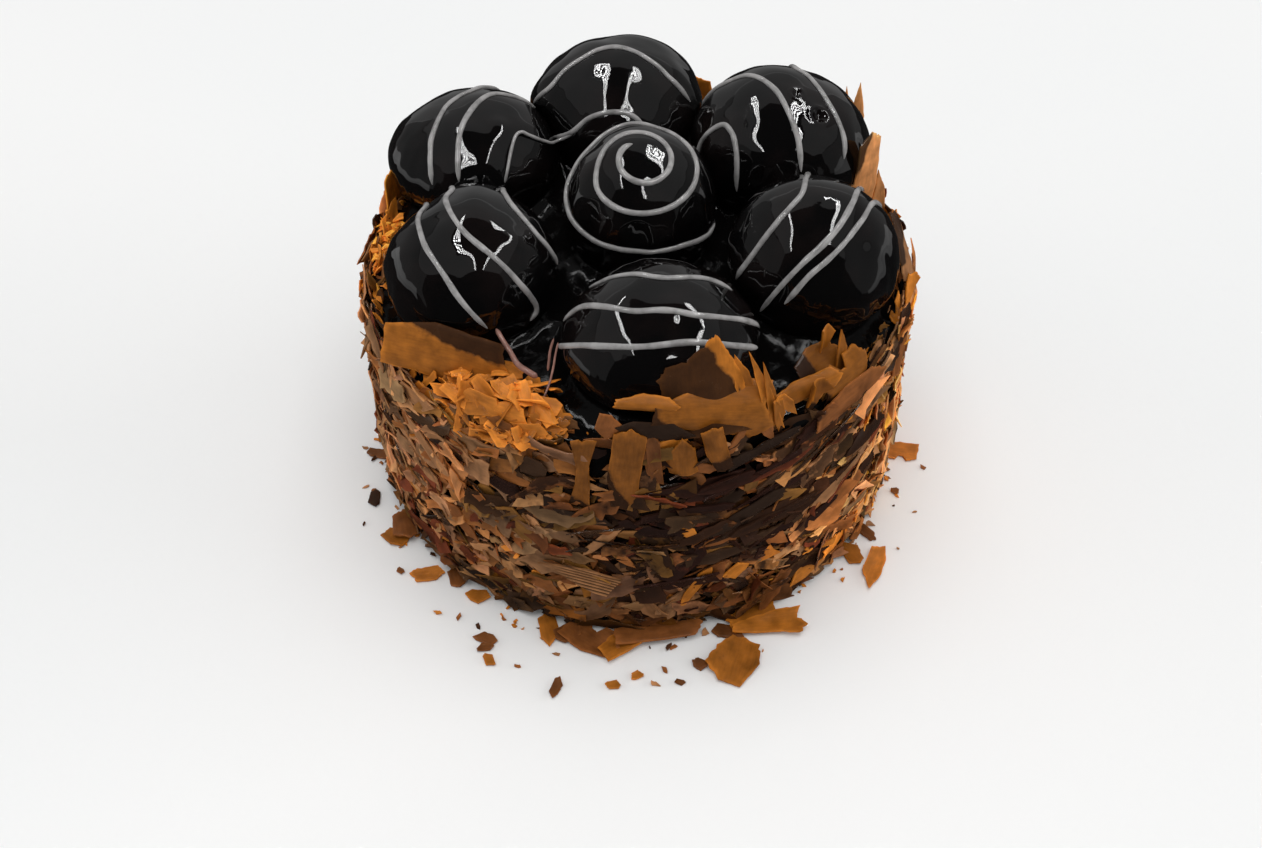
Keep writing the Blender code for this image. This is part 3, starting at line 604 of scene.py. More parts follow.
def glaze_relief(puff, places, directions):
    """How far the glaze stands out from a profiterole's plain skin."""
    seed = PUFFS.index(puff) * 5
    steep = smoothstep(0.8, 0.2, directions[:, 2])
    relief = LUMPS[1] * ripple(places, LUMPS[0], seed) + RIPPLES[1] * ripple(places, RIPPLES[0], seed + 1)
    relief = relief + RUNS[1] * steep * ripple(places / (1, 1, RUN_STRETCH), RUNS[0], seed + 2)
    for bearing, fall, size, rise in KNOBS.get(puff.name, ()):
        relief = relief + rise * MM * bell(degrees_from(directions, bearing, fall) / size)
    for bearing, fall, size, rise in BUBBLES.get(puff.name, ()):
        share = degrees_from(directions, bearing, fall) / size
        lip, pit = 0.35 * bell((share - 1) / 0.3), np.exp(-((share / 0.75) ** 4))
        relief = relief + rise * MM * (lip - pit)
    return relief


def puff_surface(puff, directions):
    """Where the glazed skin of a profiterole lies along unit vectors."""
    middle, reach = puff_middle(puff), puff_reach(puff, directions)
    places = middle + reach[:, None] * directions
    foot = BODY_TOP + SEAT_GAP
    shown = smoothstep(foot, foot + SMOOTH_FOOT, places[:, 2])
    places = places + (shown * glaze_relief(puff, places, directions))[:, None] * directions
    sunk = places[:, 2] < foot
    shares = (foot - middle[2]) / np.where(sunk, directions[:, 2], 1) / reach
    flattened = middle + (reach * shares)[:, None] * directions
    return np.where(sunk[:, None], flattened, places)


def add_mesh(name, points, faces, material, node, layers=(), sharp=None):
    """A piece that rides on the cake. Its layers are a colour, a grain coordinate and a wetness a point."""
    mesh = bpy.data.meshes.new(name)
    mesh.from_pydata(np.asarray(points).tolist(), [], faces)
    if layers:
        tints, grains, wets = (np.asarray(layer, np.float32) for layer in layers)
        layer = mesh.color_attributes.new(name="tint", type="FLOAT_COLOR", domain="POINT")
        layer.data.foreach_set("color", np.insert(tints, 3, 1, axis=1).ravel())
        layer = mesh.attributes.new(name="grain", type="FLOAT_VECTOR", domain="POINT")
        layer.data.foreach_set("vector", grains.ravel())
        layer = mesh.attributes.new(name="wet", type="FLOAT", domain="POINT")
        layer.data.foreach_set("value", wets)
    mesh.materials.append(material)
    mesh.shade_smooth()
    if sharp:
        mesh.set_sharp_from_angle(angle=math.radians(sharp))
    obj = bpy.data.objects.new(name, mesh)
    bpy.context.scene.collection.objects.link(obj)
    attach(obj, "root")
    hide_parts(node)


class Batch:
    """Many small closed meshes gathered into one piece."""

    def __init__(self):
        self.points, self.faces, self.layers = [], [], ([], [], [])
        self.count = 0

    def add(self, points, faces, tints, grains, wets=0.0):
        self.points.append(points)
        self.faces.extend(tuple(corner + self.count for corner in face) for face in faces)
        layers = (np.broadcast_to(tints, (len(points), 3)), grains, np.broadcast_to(wets, len(points)))
        for layer, values in zip(self.layers, layers):
            layer.append(values)
        self.count += len(points)

    def lay(self, plate, spots, colour, wet, edge=EDGE_LIGHT_AND_HIGHLIGHT, brightest=math.inf):
        """Add a shaving at its place, lighter on its broken edges, partly as a painted highlight."""
        tints = colour * np.where(plate.marks, edge, FACE_LIGHT)[:, None]
        self.add(spots, plate.faces, np.minimum(tints, brightest), plate.grains, wet)

    def finish(self, name, material, node="cake_body", slot="chocolate_shavings", sharp=40):
        layers = [np.concatenate(layer) for layer in self.layers]
        add_mesh(name, np.concatenate(self.points), self.faces, material, node, layers, sharp)


class Look:
    """The nodes of a material or world. An input takes a number, a colour or another node's output."""

    def __init__(self, owner):
        owner.use_nodes = True
        self.owner, self.tree = owner, owner.node_tree

    def feed(self, node, inputs):
        for socket, value in inputs.items():
            if isinstance(value, bpy.types.NodeSocket):
                self.tree.links.new(value, node.inputs[socket])
            else:
                node.inputs[socket].default_value = value

    def add(self, kind, output, inputs=None, **settings):
        """A new node's output."""
        node = self.tree.nodes.new("ShaderNode" + kind)
        for name, value in settings.items():
            setattr(node, name, value)
        self.feed(node, inputs or {})
        return node.outputs[output]

    def finish(self, inputs, node="Principled BSDF"):
        """The material or world, with the inputs of its last node fed."""
        self.feed(self.tree.nodes[node], inputs)
        return self.owner

    def noise(self, vector, scale, detail=4):
        inputs = {"Vector": vector, "Scale": scale, "Detail": detail, "Roughness": 0.55}
        return self.add("TexNoise", "Fac", inputs)

    def between(self, value, low, high, to_low, to_high):
        """A value with one range turned into another, and held inside it."""
        inputs = {"Value": value, "From Min": low, "From Max": high, "To Min": to_low, "To Max": to_high}
        return self.add("MapRange", "Result", inputs)

    def maths(self, operation, first, second):
        return self.add("Math", "Value", {0: first, 1: second}, operation=operation)

    def mix(self, share, first, second, blend="MIX"):
        """Two colours mixed, by the node's colour sockets."""
        return self.add("Mix", 2, {0: share, 6: first, 7: second}, data_type="RGBA", blend_type=blend)

    def shaded(self, shade):
        """The piece's own colour at each point, times a grey."""
        own = self.add("Attribute", "Color", attribute_name="tint")
        grey = self.add("CombineColor", "Color", {"Red": shade, "Green": shade, "Blue": shade})
        return self.mix(1, own, grey, "MULTIPLY")

    def bump(self, height, distance, strength, **before):
        inputs = {"Height": height, "Distance": distance, "Strength": strength, **before}
        return self.add("Bump", "Normal", inputs)


def glaze_material():
    """Dark mirror glaze: near black, thinly brown where it runs thin, with a faint ripple."""
    look = Look(bpy.data.materials.new("dark_mirror_glaze"))
    place = look.add("TexCoord", "Object")
    thin = look.between(look.noise(place, 70), 0.45, 0.75, 0, 1)
    return look.finish({
        "Base Color": look.mix(thin, (0.0022, 0.0020, 0.0021, 1), (0.0065, 0.0042, 0.0040, 1)),
        "Roughness": look.between(look.noise(place, 140), 0.35, 0.7, 0.02, 0.06),
        "IOR": 1.5,
        "Normal": look.bump(look.noise(place, 330, 2), 0.03 * MM, 0.5),
    })


def line_material():
    """The piped lines: a thin milky icing that lets the dark glaze through in places."""
    look = Look(bpy.data.materials.new("piped_icing"))
    place = look.add("TexCoord", "Object")
    return look.finish({
        "Base Color": look.shaded(look.between(look.noise(place, 240), 0.4, 0.68, 1, 0.55)),
        "Roughness": look.between(look.noise(place, 500), 0.3, 0.7, 0.1, 0.26),
        "Normal": look.bump(look.noise(place, 700, 3), 0.04 * MM, 0.5),
    })


def shaving_material():
    """Chocolate shavings: scraped along their length, cloudy, and dark and shiny where glaze soaked in."""
    look = Look(bpy.data.materials.new("shaved_chocolate"))
    grain = look.add("Attribute", "Vector", attribute_name="grain")
    along = look.add("Mapping", "Vector", {"Vector": grain, "Scale": (1, 7, 1)})
    scraped = look.noise(along, 230, 3)
    cloudy = look.noise(grain, 260)
    clouds = look.between(cloudy, 0.3, 0.7, 0.72, 1.22)
    streaks = look.between(scraped, 0.3, 0.7, 0.88, 1.1)
    dry = look.shaded(look.maths("MULTIPLY", clouds, streaks))
    dimmed = look.mix(1, dry, (0.1, 0.1, 0.1, 1), "MULTIPLY")
    soaked = look.mix(1, dimmed, (0.013, 0.0085, 0.0072, 1), "ADD")
    wet = look.add("Attribute", "Fac", attribute_name="wet")
    stain = look.between(look.maths("ADD", wet, look.noise(grain, 190, 3)), 0.9, 1.1, 0, 1)
    dull = look.between(cloudy, 0.3, 0.7, 0.42, 0.62)
    shiny = look.between(cloudy, 0.3, 0.7, 0.12, 0.3)
    fine = look.bump(scraped, 0.1 * MM, 0.55)
    return look.finish({
        "Base Color": look.mix(stain, dry, soaked),
        "Roughness": look.add("Mix", 0, {0: stain, 2: dull, 3: shiny}),
        "Specular IOR Level": 0.15,
        "Normal": look.bump(look.noise(grain, 900, 3), 0.06 * MM, 0.5, Normal=fine),
    })


def core_material():
    """The glazed cake under its coat: black glaze on top, brown crumb glaze on the wall."""
    look = Look(bpy.data.materials.new("glazed_core"))
    place = look.add("TexCoord", "Object")
    wall = look.between(look.add("SeparateXYZ", "Z", {"Vector": place}), 52 * MM, 34 * MM, 0, 1)
    patchy = look.between(look.noise(place, 60), 0.4, 0.65, 0, 1)
    brown = look.mix(patchy, (0.008, 0.004, 0.002, 1), (0.030, 0.013, 0.005, 1))
    return look.finish({
        "Base Color": look.mix(wall, (0.0025, 0.0022, 0.0022, 1), brown),
        "Roughness": look.between(look.noise(place, 180), 0.35, 0.7, 0.04, 0.2),
        "Specular IOR Level": 0.12,
        "Normal": look.bump(look.noise(place, 500), 0.1 * MM, 0.6),
    })


def floor_material():
    look = Look(bpy.data.materials.new("pale_floor"))
    tone = look.between(look.noise(look.add("TexCoord", "Object"), 3, 2), 0.3, 0.7, 0, 1)
    pale = look.mix(tone, (0.86, 0.87, 0.87, 1), (0.89, 0.89, 0.885, 1))
    return look.finish({"Base Color": pale, "Roughness": 0.6})


def make_puff(puff, material):
    """A glazed profiterole in the place of its solid."""
    points, faces = icosphere(PUFF_DETAIL)
    node = "profiterole_" + puff.name
    add_mesh("glazed_" + node, puff_surface(puff, unit(points)), faces, material, node)


def tube(course, outward, radii, flatten=0.8, sides=12):
    """Points and faces of a closed tube along a course, a little flattened towards what it lies on."""
    forward = unit(np.gradient(course, axis=0))
    side = unit(np.cross(forward, outward))
    up = np.cross(side, forward)
    turns = 2 * math.pi * np.arange(sides) / sides
    ring = np.cos(turns)[None, :, None] * side[:, None] + flatten * np.sin(turns)[None, :, None] * up[:, None]
    points = (course[:, None] + radii[:, None, None] * ring).reshape(-1, 3)
    faces = [face for k in range(len(course) - 1) for face in band(k * sides, (k + 1) * sides, sides)]
    faces.append(tuple(range(sides))[::-1])
    faces.append(tuple(range(len(points) - sides, len(points))))
    return points, faces


def line_radii(course, seed, radius=LINE_RADIUS, tail_length=LINE_TAIL):
    """The thickness along a piped line: uneven, and drawn out at its ends."""
    step = np.linalg.norm(np.diff(course, axis=0), axis=1).mean()
    places = np.arange(len(course))
    tail = np.sqrt(np.clip(np.minimum(places, places[::-1]) * step / tail_length, 0.04, 1))
    uneven = 1 + 0.22 * ripple(course, 9 * MM, seed) + 0.1 * ripple(course, 3 * MM, seed + 1)
    return radius * tail * uneven


def stroke_directions(puff):
    if puff.name == "centre":
        tilt = Vector((0, 0, 1)).rotation_difference(Vector(compass(*SPIRAL_AXIS)))
        turn = np.array(tilt.to_matrix())
        return [np.array([turn @ compass(*pair) for pair in smooth_course(SPIRAL, SPIRAL_STEPS)])]
    courses = ([compass(*spot) for spot in stroke] for stroke in STROKES[puff.name])
    return [unit(smooth_course(course, STROKE_STEPS)) for course in courses]


def make_lines(puff, material):
    """The lines piped over one profiterole."""
    batch = Batch()
    node = "profiterole_" + puff.name
    others = [k for k, other in enumerate(PUFFS) if other is not puff]
    for number, directions in enumerate(stroke_directions(puff)):
        course = puff_surface(puff, directions) + LINE_LIFT * directions
        course = course[puff_gaps(course)[:, others].min(axis=1) > LINE_CLEARANCE]
        points, faces = tube(course, unit(course - puff_middle(puff)), line_radii(course, number))
        batch.add(points, faces, paint("icing"), points)
    batch.finish("lines_on_" + node, material, node, "piped_lines", LINE_SHARPNESS)


def make_trails(material):
    """The lines that hang between profiteroles or trail over the shavings."""
    batch = Batch()
    for number, (radius, finish, points) in enumerate(TRAILS):
        course = smooth_course(points, TRAIL_STEPS) * MM
        radii = line_radii(course, 40 + number, radius * MM, TRAIL_TAIL)
        points, faces = tube(course, np.broadcast_to(TRAIL_UP, course.shape), radii, 0.95, 10)
        batch.add(points, faces, paint(finish), points)
    batch.finish("trailing_lines", material, slot="piped_lines", sharp=LINE_SHARPNESS)


def core_heights(points):
    """The glaze's height over the body's top: pooled, and drawn up where profiteroles meet."""
    feelers = np.column_stack([points[:, :2], np.full(len(points), BODY_TOP + 6 * MM)])
    gaps = np.sort(np.maximum(puff_gaps(feelers), 0), axis=1)
    reach = np.hypot(points[:, 0], points[:, 1])
    inside = smoothstep(BODY_RADIUS - 2 * MM, BODY_RADIUS - 8 * MM, reach)
    climbing = CLIMB[0] * np.exp(-gaps[:, 0] / CLIMB[1])
    webbed = WEB[0] * np.exp(-(gaps[:, 0] + gaps[:, 1]) / WEB[1])
    waves = sum(height * ripple(points, size, seed) for height, size, seed in POOL_WAVES)
    return inside * (POOL_DEPTH + climbing + webbed + waves)


def spill(points):
    """How far the glaze that ran over the rim stands out from the wall."""
    azimuths = np.degrees(np.arctan2(points[:, 1], points[:, 0]))
    run = sum(strength * bell((azimuths - middle) / spread) for strength, middle, spread in SPILLS)
    height, size, seed = SPILL_RUNS
    low = smoothstep(*SPILL_HEIGHTS, points[:, 2] + height * ripple(points * (1, 1, 0.2), size, seed))
    return SPILL_DEPTH * run * low


def make_core(material):
    """The cake under its coat: a turned profile with an uneven wall and the poured glaze on top."""
    wall = BODY_RADIUS - CORE_INSET
    profile = [(40 * MM, 0), (wall - FOOT_CHAMFER, 0), (wall, FOOT_CHAMFER)]
    profile += [(wall, height * MM) for height in range(3, 71)]
    profile += [(wall - 0.5 * MM, BODY_TOP - 0.5 * MM), (wall - RIM_CHAMFER, BODY_TOP)]
    profile += [(reach * MM, BODY_TOP) for reach in range(74, 1, -1)]
    reaches, heights = np.array(profile).T[:, :, None]
    turns = 2 * math.pi * np.arange(CORE_SPOKES) / CORE_SPOKES
    grid = [reaches * np.cos(turns), reaches * np.sin(turns), np.repeat(heights, CORE_SPOKES, axis=1)]
    points = np.stack(grid, axis=2).reshape(-1, 3)
    on_wall = (points[:, 2] > 2 * MM) & (points[:, 2] < BODY_TOP - 1 * MM)
    outward = unit(points * (1, 1, 0))
    stand = CORE_LUMPS[0] * ripple(points[on_wall], *CORE_LUMPS[1:]) + spill(points[on_wall])
    points[on_wall] += stand[:, None] * outward[on_wall]
    top = points[:, 2] > BODY_TOP - 0.01 * MM
    points[top, 2] += core_heights(points[top])
    count = len(points)
    faces = flipped(fan(count, 0, CORE_SPOKES)) + fan(count + 1, count - CORE_SPOKES, CORE_SPOKES)
    for low in range(0, count - CORE_SPOKES, CORE_SPOKES):
        faces += band(low, low + CORE_SPOKES, CORE_SPOKES)
    points = np.vstack([points, [(0, 0, 0), (0, 0, BODY_TOP)]])
    add_mesh("glazed_cake_core", points, faces, material, "cake_body", sharp=60)


def seated(points, azimuth, reach, height, swing=0, lean=0, roll=0, twist=0, tip=0):
    """Where a plate's points sit, from its own X outwards, Y along and Z across. Lean moves its top out."""
    matrix = np.array(
        Matrix.Rotation(azimuth, 4, "Z")
        @ Matrix.Translation((reach, 0, height))
        @ Matrix.Rotation(swing, 4, "Z")
        @ Matrix.Rotation(lean, 4, "Y")
        @ Matrix.Rotation(roll, 4, "X")
        @ Matrix.Rotation(twist, 4, "Y")
        @ Matrix.Rotation(tip, 4, "Z")
    )
    return points @ matrix[:3, :3].T + matrix[:3, 3]


def first_clear(points, azimuth, reach, height, **turns):
    """The points at the first place, going outwards, that clears the profiteroles, and whether one does."""
    for step in range(STEPS_OUT):
        spots = seated(points, azimuth, reach + step * STEP_OUT, height, **turns)
        if least_gap(spots) > PUFF_CLEARANCE:
            return spots, True
    return spots, False


Plate = namedtuple("Plate", "points faces grains marks")


def closed_plate(along, across, rise, half, faces, grain, marks):
    """A shaving with a front and a back, each half a thickness off its curled middle."""
    along, across, rise = along.ravel(), across.ravel(), rise.ravel()
    sides = [np.column_stack([rise + offset, along, across]) for offset in (half, -half)]
    grains = np.column_stack([along, across, np.full(len(along), grain)])
    return Plate(np.vstack(sides), faces, np.vstack([grains, grains]), np.tile(marks, 2))


def curled(along, across, length, width, bend, cup, twist):
    """How far a shaving's face lies off flat."""
    u, v = 2 * along / length, 2 * across / width
    return bend * length / 2 * (u * u - 0.33) + cup * width / 2 * (v * v - 0.33) + twist * width / 2 * u * v


def named_outline(shape, length, width):
    return [(u * (length / 2), v * (width / 2)) for u, v in OUTLINES[shape]]


def ragged_outline(draw, length, width, points=6):
    """A broken shaving's outline, a long lozenge with its corners knocked about."""
    outline = []
    for k in range(points):
        turn = 2 * math.pi * (k + draw.uniform(-0.3, 0.3)) / points
        along = math.copysign(abs(math.cos(turn)) ** 0.7, math.cos(turn)) * draw.uniform(0.82, 1.1)
        across = math.copysign(abs(math.sin(turn)) ** 0.6, math.sin(turn)) * draw.uniform(0.75, 1.15)
        outline.append((length / 2 * along, width / 2 * across))
    return outline


def torn_edge(draw, outline, steps, tear):
    """The outline with each side broken into steps, knocked in and out by the tear."""
    edge = []
    for here, there in zip(outline, outline[1:] + outline[:1]):
        for step in range(steps):
            share = step / steps
            bite = tear if draw.random() < DEEP_TEAR_SHARE else 0.3 * tear
            knock = 1 + (draw.uniform(-bite, 0.6 * bite) if step else 0)
            edge.append([(a * (1 - share) + b * share) * knock for a, b in zip(here, there)])
    return np.array(edge)


def sheet_mesh(draw, outline, length, width, thickness, bends, rings=4, steps=4, tear=SHEET_TEAR):
    """A curled plate with a torn edge."""
    edge = torn_edge(draw, outline, steps, tear)
    shares = np.linspace(0, 1, rings + 1)[1:]
    flat = np.vstack([[(0, 0)], *(edge * share for share in shares)])
    count, around = len(flat), len(edge)
    waves = ripple(np.column_stack([flat, np.zeros(count)]), WAVE_SIZE, draw.randint(0, 99))
    rise = curled(*flat.T, length, width, *bends) + min(0.05 * width, WAVE_LIMIT) * waves
    marks = np.arange(count) >= count - around
    half = thickness / 2 * np.where(marks, THIN_EDGES["sheet"], 1)
    starts = range(1, count, around)
    faces = fan(0, 1, around) + flipped(fan(count, count + 1, around))
    for inner, outer in zip(starts, starts[1:]):
        faces += flipped(band(inner, outer, around)) + band(count + inner, count + outer, around)
    faces += flipped(band(starts[-1], count + starts[-1], around))
    return closed_plate(*flat.T, rise, half, faces, draw.uniform(0, 9), marks)


def strip_faces(columns, rows):
    """The faces of a closed plate made of a front and a back grid."""
    count = columns * rows
    faces = []
    for c in range(columns - 1):
        for r in range(rows - 1):
            a, b = c * rows + r, (c + 1) * rows + r
            faces.append((a, b, b + 1, a + 1))
            faces.append((count + a, count + a + 1, count + b + 1, count + b))
    rim = [c * rows for c in range(columns)]
    rim += [(columns - 1) * rows + r for r in range(1, rows)]
    rim += [c * rows + rows - 1 for c in reversed(range(columns - 1))]
    rim += [r for r in reversed(range(1, rows - 1))]
    for here, there in zip(rim, rim[1:] + rim[:1]):
        faces.append((there, here, count + here, count + there))
    return faces


def unit_grid(columns, rows):
    return np.meshgrid(np.linspace(-1, 1, columns), np.linspace(-1, 1, rows), indexing="ij")


STRIP_FACES = {size: strip_faces(*size) for size in (LARGE_GRID, MIDDLE_GRID, SMALL_GRID, RIBBED_GRID)}


def chip_mesh(rng, length, width, thickness, bends, size):
    """A small angular shaving on a grid of columns and rows."""
    columns, rows = size
    u, v = unit_grid(*size)
    ends = rng.choice(CHIP_ENDS, 2)
    taper = np.where(u < 0, ends[0], ends[1])
    start = rng.uniform(0.0, 0.5)
    profile = 1 - (1 - taper) * np.clip((np.abs(u) - start) / (1 - start), 0, 1)
    knocked = 1 + rng.uniform(-0.25, 0.15, (columns, 2))
    jag = np.where(v > 0, knocked[:, :1], knocked[:, 1:])
    across = v * width / 2 * profile * jag + rng.uniform(-0.3, 0.3) * width * u * u
    slants = rng.uniform(-0.8, 0.8, 2)
    broken = rng.uniform(-0.2, 0.1, (2, rows))
    along = u * length / 2 * (1 + np.where(u > 0, broken[1], broken[0]) * np.abs(u) ** 3)
    along = along + np.where(u > 0, slants[1], slants[0]) * v * width / 2 * np.abs(u)
    rise = curled(along, across, length, width, *bends) + rng.normal(0, 0.03 * width, u.shape)
    edge = np.maximum(np.abs(u), np.abs(v)).ravel() > 0.99
    half = thickness / 2 * np.where(edge, THIN_EDGES["chip"], 1)
    return closed_plate(along, across, rise, half, STRIP_FACES[size], rng.uniform(0, 9), edge)


def ribbed_mesh(length, width, thickness):
    """A shaving with scraped ribs, pointed on the left and sawn off at the right, marked by its height."""
    u, v = unit_grid(*RIBBED_GRID)
    across = v * width / 2 * np.clip(0.12 + 0.75 * (1 + u), 0, 1) - 0.12 * width * u
    along = u * length / 2 + 0.08 * length * v * u
    ridge = 0.5 + 0.5 * np.cos(2 * math.pi * across / RIB_PITCH) * smoothstep(-0.75, -0.2, u)
    rise = RIB_DEPTH * ridge + curled(along, across, length, width, 0.02, 0.1, 0)
    return closed_plate(along, across, rise, thickness / 2, STRIP_FACES[RIBBED_GRID], 0, ridge.ravel())


def patch_share(patches, azimuth, height):
    """What the patches of a table come to at a place on the wall."""
    shares = 0
    for strength, middle, spread, low, high in patches:
        shares = shares + strength * near(azimuth, middle, spread) * smoothstep(low * MM, high * MM, height)
    return shares


def stain_share(azimuth, height):
    """How likely a shaving on the wall is to be soaked with glaze, by its place."""
    drift = 0.2 * noise.noise(Vector((azimuth / 18, height / (12 * MM), 3.3)))
    return float(np.clip(0.06 + patch_share(STAINS, azimuth, height) + drift, 0.02, 0.92))


def wetness(rng, share, soaked, dry):
    """How wet a shaving is, drawn from one of two ranges."""
    return rng.uniform(*soaked) if rng.random() < share else rng.uniform(*dry)


def coat_colour(rng, azimuth, height):
    """The colour of one shaving on the wall, by its place, with painted shade towards the foot and painted
    light and shade round the wall.
    """
    left, right = near(azimuth, -155, 38), near(azimuth, -18, 32)
    low = math.exp(-((height / (14 * MM)) ** 2))
    weights = {
        "milk": 0.2 + 0.9 * left + 0.25 * right,
        "grey_brown": 0.12 + 0.35 * left,
        "olive": 0.16,
        "brown": 0.5,
        "tan": 0.1 + 0.8 * right + 0.15 * low,
        "ochre": 0.04 + 0.1 * right + 0.2 * low,
        "red_brown": 0.16,
    }
    shares = np.array(list(weights.values()))
    colour = paint(rng.choice(list(weights), p=shares / shares.sum()))
    # Painted shade: darker towards the foot, less so on the right
    painted_foot_shade = 0.15 + 0.85 * smoothstep(-6 * MM, 24 * MM, height)
    painted_foot_shade = painted_foot_shade + (1 - painted_foot_shade) * 0.8 * right
    # Painted light: lighter on the left and much lighter on the right, a little darker at the front
    painted_light_round_wall = 1 + 0.3 * left + 0.15 * near(azimuth, -138, 22) + 1.25 * right - 0.2 * near(azimuth, -85, 18)
    varied = rng.uniform(0.55, 1.15) * (1 + rng.normal(0, 0.04, 3))
    return np.minimum(colour * painted_foot_shade * painted_light_round_wall * varied, BRIGHTEST)


def make_wall_shavings(material):
    """The coat of shavings on the wall, overlapping like bark, in a batch for each size."""
    for kind_number, kind in enumerate(WALL_KINDS):
        rng = np.random.default_rng(100 + kind_number)
        batch = Batch()
        for number in range(kind.count):
            length = rng.uniform(*kind.lengths)
            width = length * rng.uniform(*kind.slimness)
            azimuth = (number + rng.uniform(-0.4, 0.4)) * GOLDEN_TURN
            climb = (number * PLASTIC_RATIO + rng.uniform(-0.01, 0.01)) % 1
            roll = rng.normal(0, 0.5)
            twist, tip = np.radians(rng.normal(0, (kind.twist, kind.tip)))
            spread = 0.5 * (abs(math.sin(roll)) * length + abs(math.cos(roll)) * width)
            height = max(1.5 * MM + climb * (BODY_TOP - 2 * MM), spread * 0.9 + 0.3 * MM)
            degrees = math.degrees(azimuth)
            if rng.random() < 0.04 + patch_share(BARE_PATCHES, degrees, height):
                continue
            proud = rng.random()
            low, high = kind.proud
            reach = BODY_RADIUS + low + (high - low) * proud + 0.25 * abs(math.sin(twist)) * width
            bends = (rng.normal(-0.02, 0.06), *rng.normal(0, kind.curl, 2))
            plate = chip_mesh(rng, length, width, rng.uniform(0.35, 0.65) * MM, bends, kind.grid)
            spots = seated(plate.points, azimuth, reach, height, roll=roll, twist=twist, tip=tip)
            spots[:, 2] = np.maximum(spots[:, 2], FLOOR_CLEARANCE)
            wet = wetness(rng, stain_share(degrees, height), (0.5, 1), (0, 0.5))
            # Painted shade: the deeper a shaving lies in the coat, the darker its colour
            colour = coat_colour(rng, degrees, height) * (DEEP_PAINTED_SHADE + (PROUD_PAINTED_LIGHT - DEEP_PAINTED_SHADE) * proud)
            batch.lay(plate, spots, colour, wet, kind.edge)
        batch.finish(f"wall_shavings_{kind_number}", material)


def add_ridges(batch):
    """The long glazed shavings on the front right of the wall."""
    rng = np.random.default_rng(55)
    for number in range(RIDGES):
        azimuth = RIDGE_AZIMUTHS[0] + (RIDGE_AZIMUTHS[1] - RIDGE_AZIMUTHS[0]) * (number * PLASTIC_RATIO % 1)
        height = RIDGE_HEIGHTS[0] + (RIDGE_HEIGHTS[1] - RIDGE_HEIGHTS[0]) * (number * GOLDEN_TURN % 1)
        length, width = rng.uniform((14, 2.6), (27, 5)) * MM
        bends = (rng.uniform(-0.05, 0), *rng.normal(0, 0.25, 2))
        plate = chip_mesh(rng, length, width, rng.uniform(0.6, 0.95) * MM, bends, LARGE_GRID)
        turns = {"roll": math.radians(rng.uniform(2, 30)), "twist": rng.uniform(-0.4, 0.4)}
        reach = BODY_RADIUS + rng.uniform(1.3, 2.3) * MM
        spots = seated(plate.points, math.radians(azimuth), reach, height, **turns)
        wet = wetness(rng, 0.85 - 0.6 * smoothstep(-55, -38, azimuth), (0.75, 1), (0, 0.4))
        batch.lay(plate, spots, paint(rng.choice(RIDGE_PAINTS)) * rng.uniform(0.6, 1), wet, 1.5)


def add_ribbed_chip(batch):
    """The shaving with scraped ribs, with painted shade in its grooves."""
    chip = RIBBED_CHIP
    plate = ribbed_mesh(chip.length, chip.width, CHIP_THICKNESS)
    place = (math.radians(chip.azimuth), BODY_RADIUS + RIBBED_OUTSET, chip.height)
    spots = seated(plate.points, *place, roll=math.radians(chip.roll))
    # Painted shade: the grooves between the ribs are darkened, the ribs kept light
    batch.add(spots, plate.faces, paint(chip.finish) * (0.12 + 0.95 * plate.marks)[:, None], plate.grains)


def make_wall_chips(material):
    """The shavings on the wall that stand out."""
    batch = Batch()
    add_ridges(batch)
    add_ribbed_chip(batch)
    for number, chip in enumerate(WALL_CHIPS):
        draw = random.Random(9 * SHAVING_SEED + number)
        outline = ragged_outline(draw, chip.length, chip.width)
        bends = (draw.uniform(-0.05, 0.02), draw.uniform(-0.15, 0.15), draw.uniform(-0.1, 0.1))
        plate = sheet_mesh(draw, outline, chip.length, chip.width, CHIP_THICKNESS, bends, rings=9)
        turns = {"roll": math.radians(chip.roll), "twist": draw.uniform(-0.12, 0.12)}
        place = (math.radians(chip.azimuth), BODY_RADIUS + WALL_CHIP_OUTSET, chip.height)
        colour = paint(chip.finish) * draw.uniform(0.85, 1.05)
        batch.lay(plate, seated(plate.points, *place, **turns), colour, chip.wet, 1.2)
    batch.finish("wall_accent_shavings", material)


def make_sheets(material):
    """The broad shavings at the rim and on the wall, each at the place of its solid or close to it."""
    batch = Batch()
    for number, sheet in enumerate(SHEETS):
        draw = random.Random(3 * SHAVING_SEED + number)
        outline = named_outline(sheet.shape, sheet.length, sheet.width)
        bends = (draw.uniform(-0.08, 0.04), sheet.cup, draw.uniform(-0.12, 0.12))
        size = (sheet.length, sheet.width, SHEET_THICKNESS)
        plate = sheet_mesh(draw, outline, *size, bends, rings=10, steps=7)
        turns = {turn: math.radians(getattr(sheet, turn)) for turn in ("swing", "lean", "roll")}
        place = (math.radians(sheet.azimuth), sheet.reach, sheet.height)
        spots, clear = first_clear(plate.points, *place, **turns)
        dip = math.radians(sheet.dip)
        u, v = plate.grains[:, 0] / (sheet.length / 2), plate.grains[:, 1] / (sheet.width / 2)
        wet = np.clip(0.5 + GLAZED_EDGE * (u * math.cos(dip) + v * math.sin(dip) - sheet.level), 0, 1)
        # The strength carries painted light and shade as well as the sheet's tone
        shade = sheet.shade * (1 + 0.26 * ripple(spots, 6 * MM, number))
        batch.lay(plate, spots, paint(sheet.finish) * shade[:, None], wet, 1.5, BRIGHTEST_SHEET)
    batch.finish("rim_sheets", material)


def leaning_outline(seed, number, count, lengths):
    """The draw, size and outline of one of the leaning shavings, which get shorter one by one."""
    draw = random.Random(seed * SHAVING_SEED + number)
    length = lengths[0] + (lengths[1] - lengths[0]) * number / count
    width = length * draw.uniform(*SLIMNESS)
    return draw, (length, width, CHIP_THICKNESS), ragged_outline(draw, length, width)


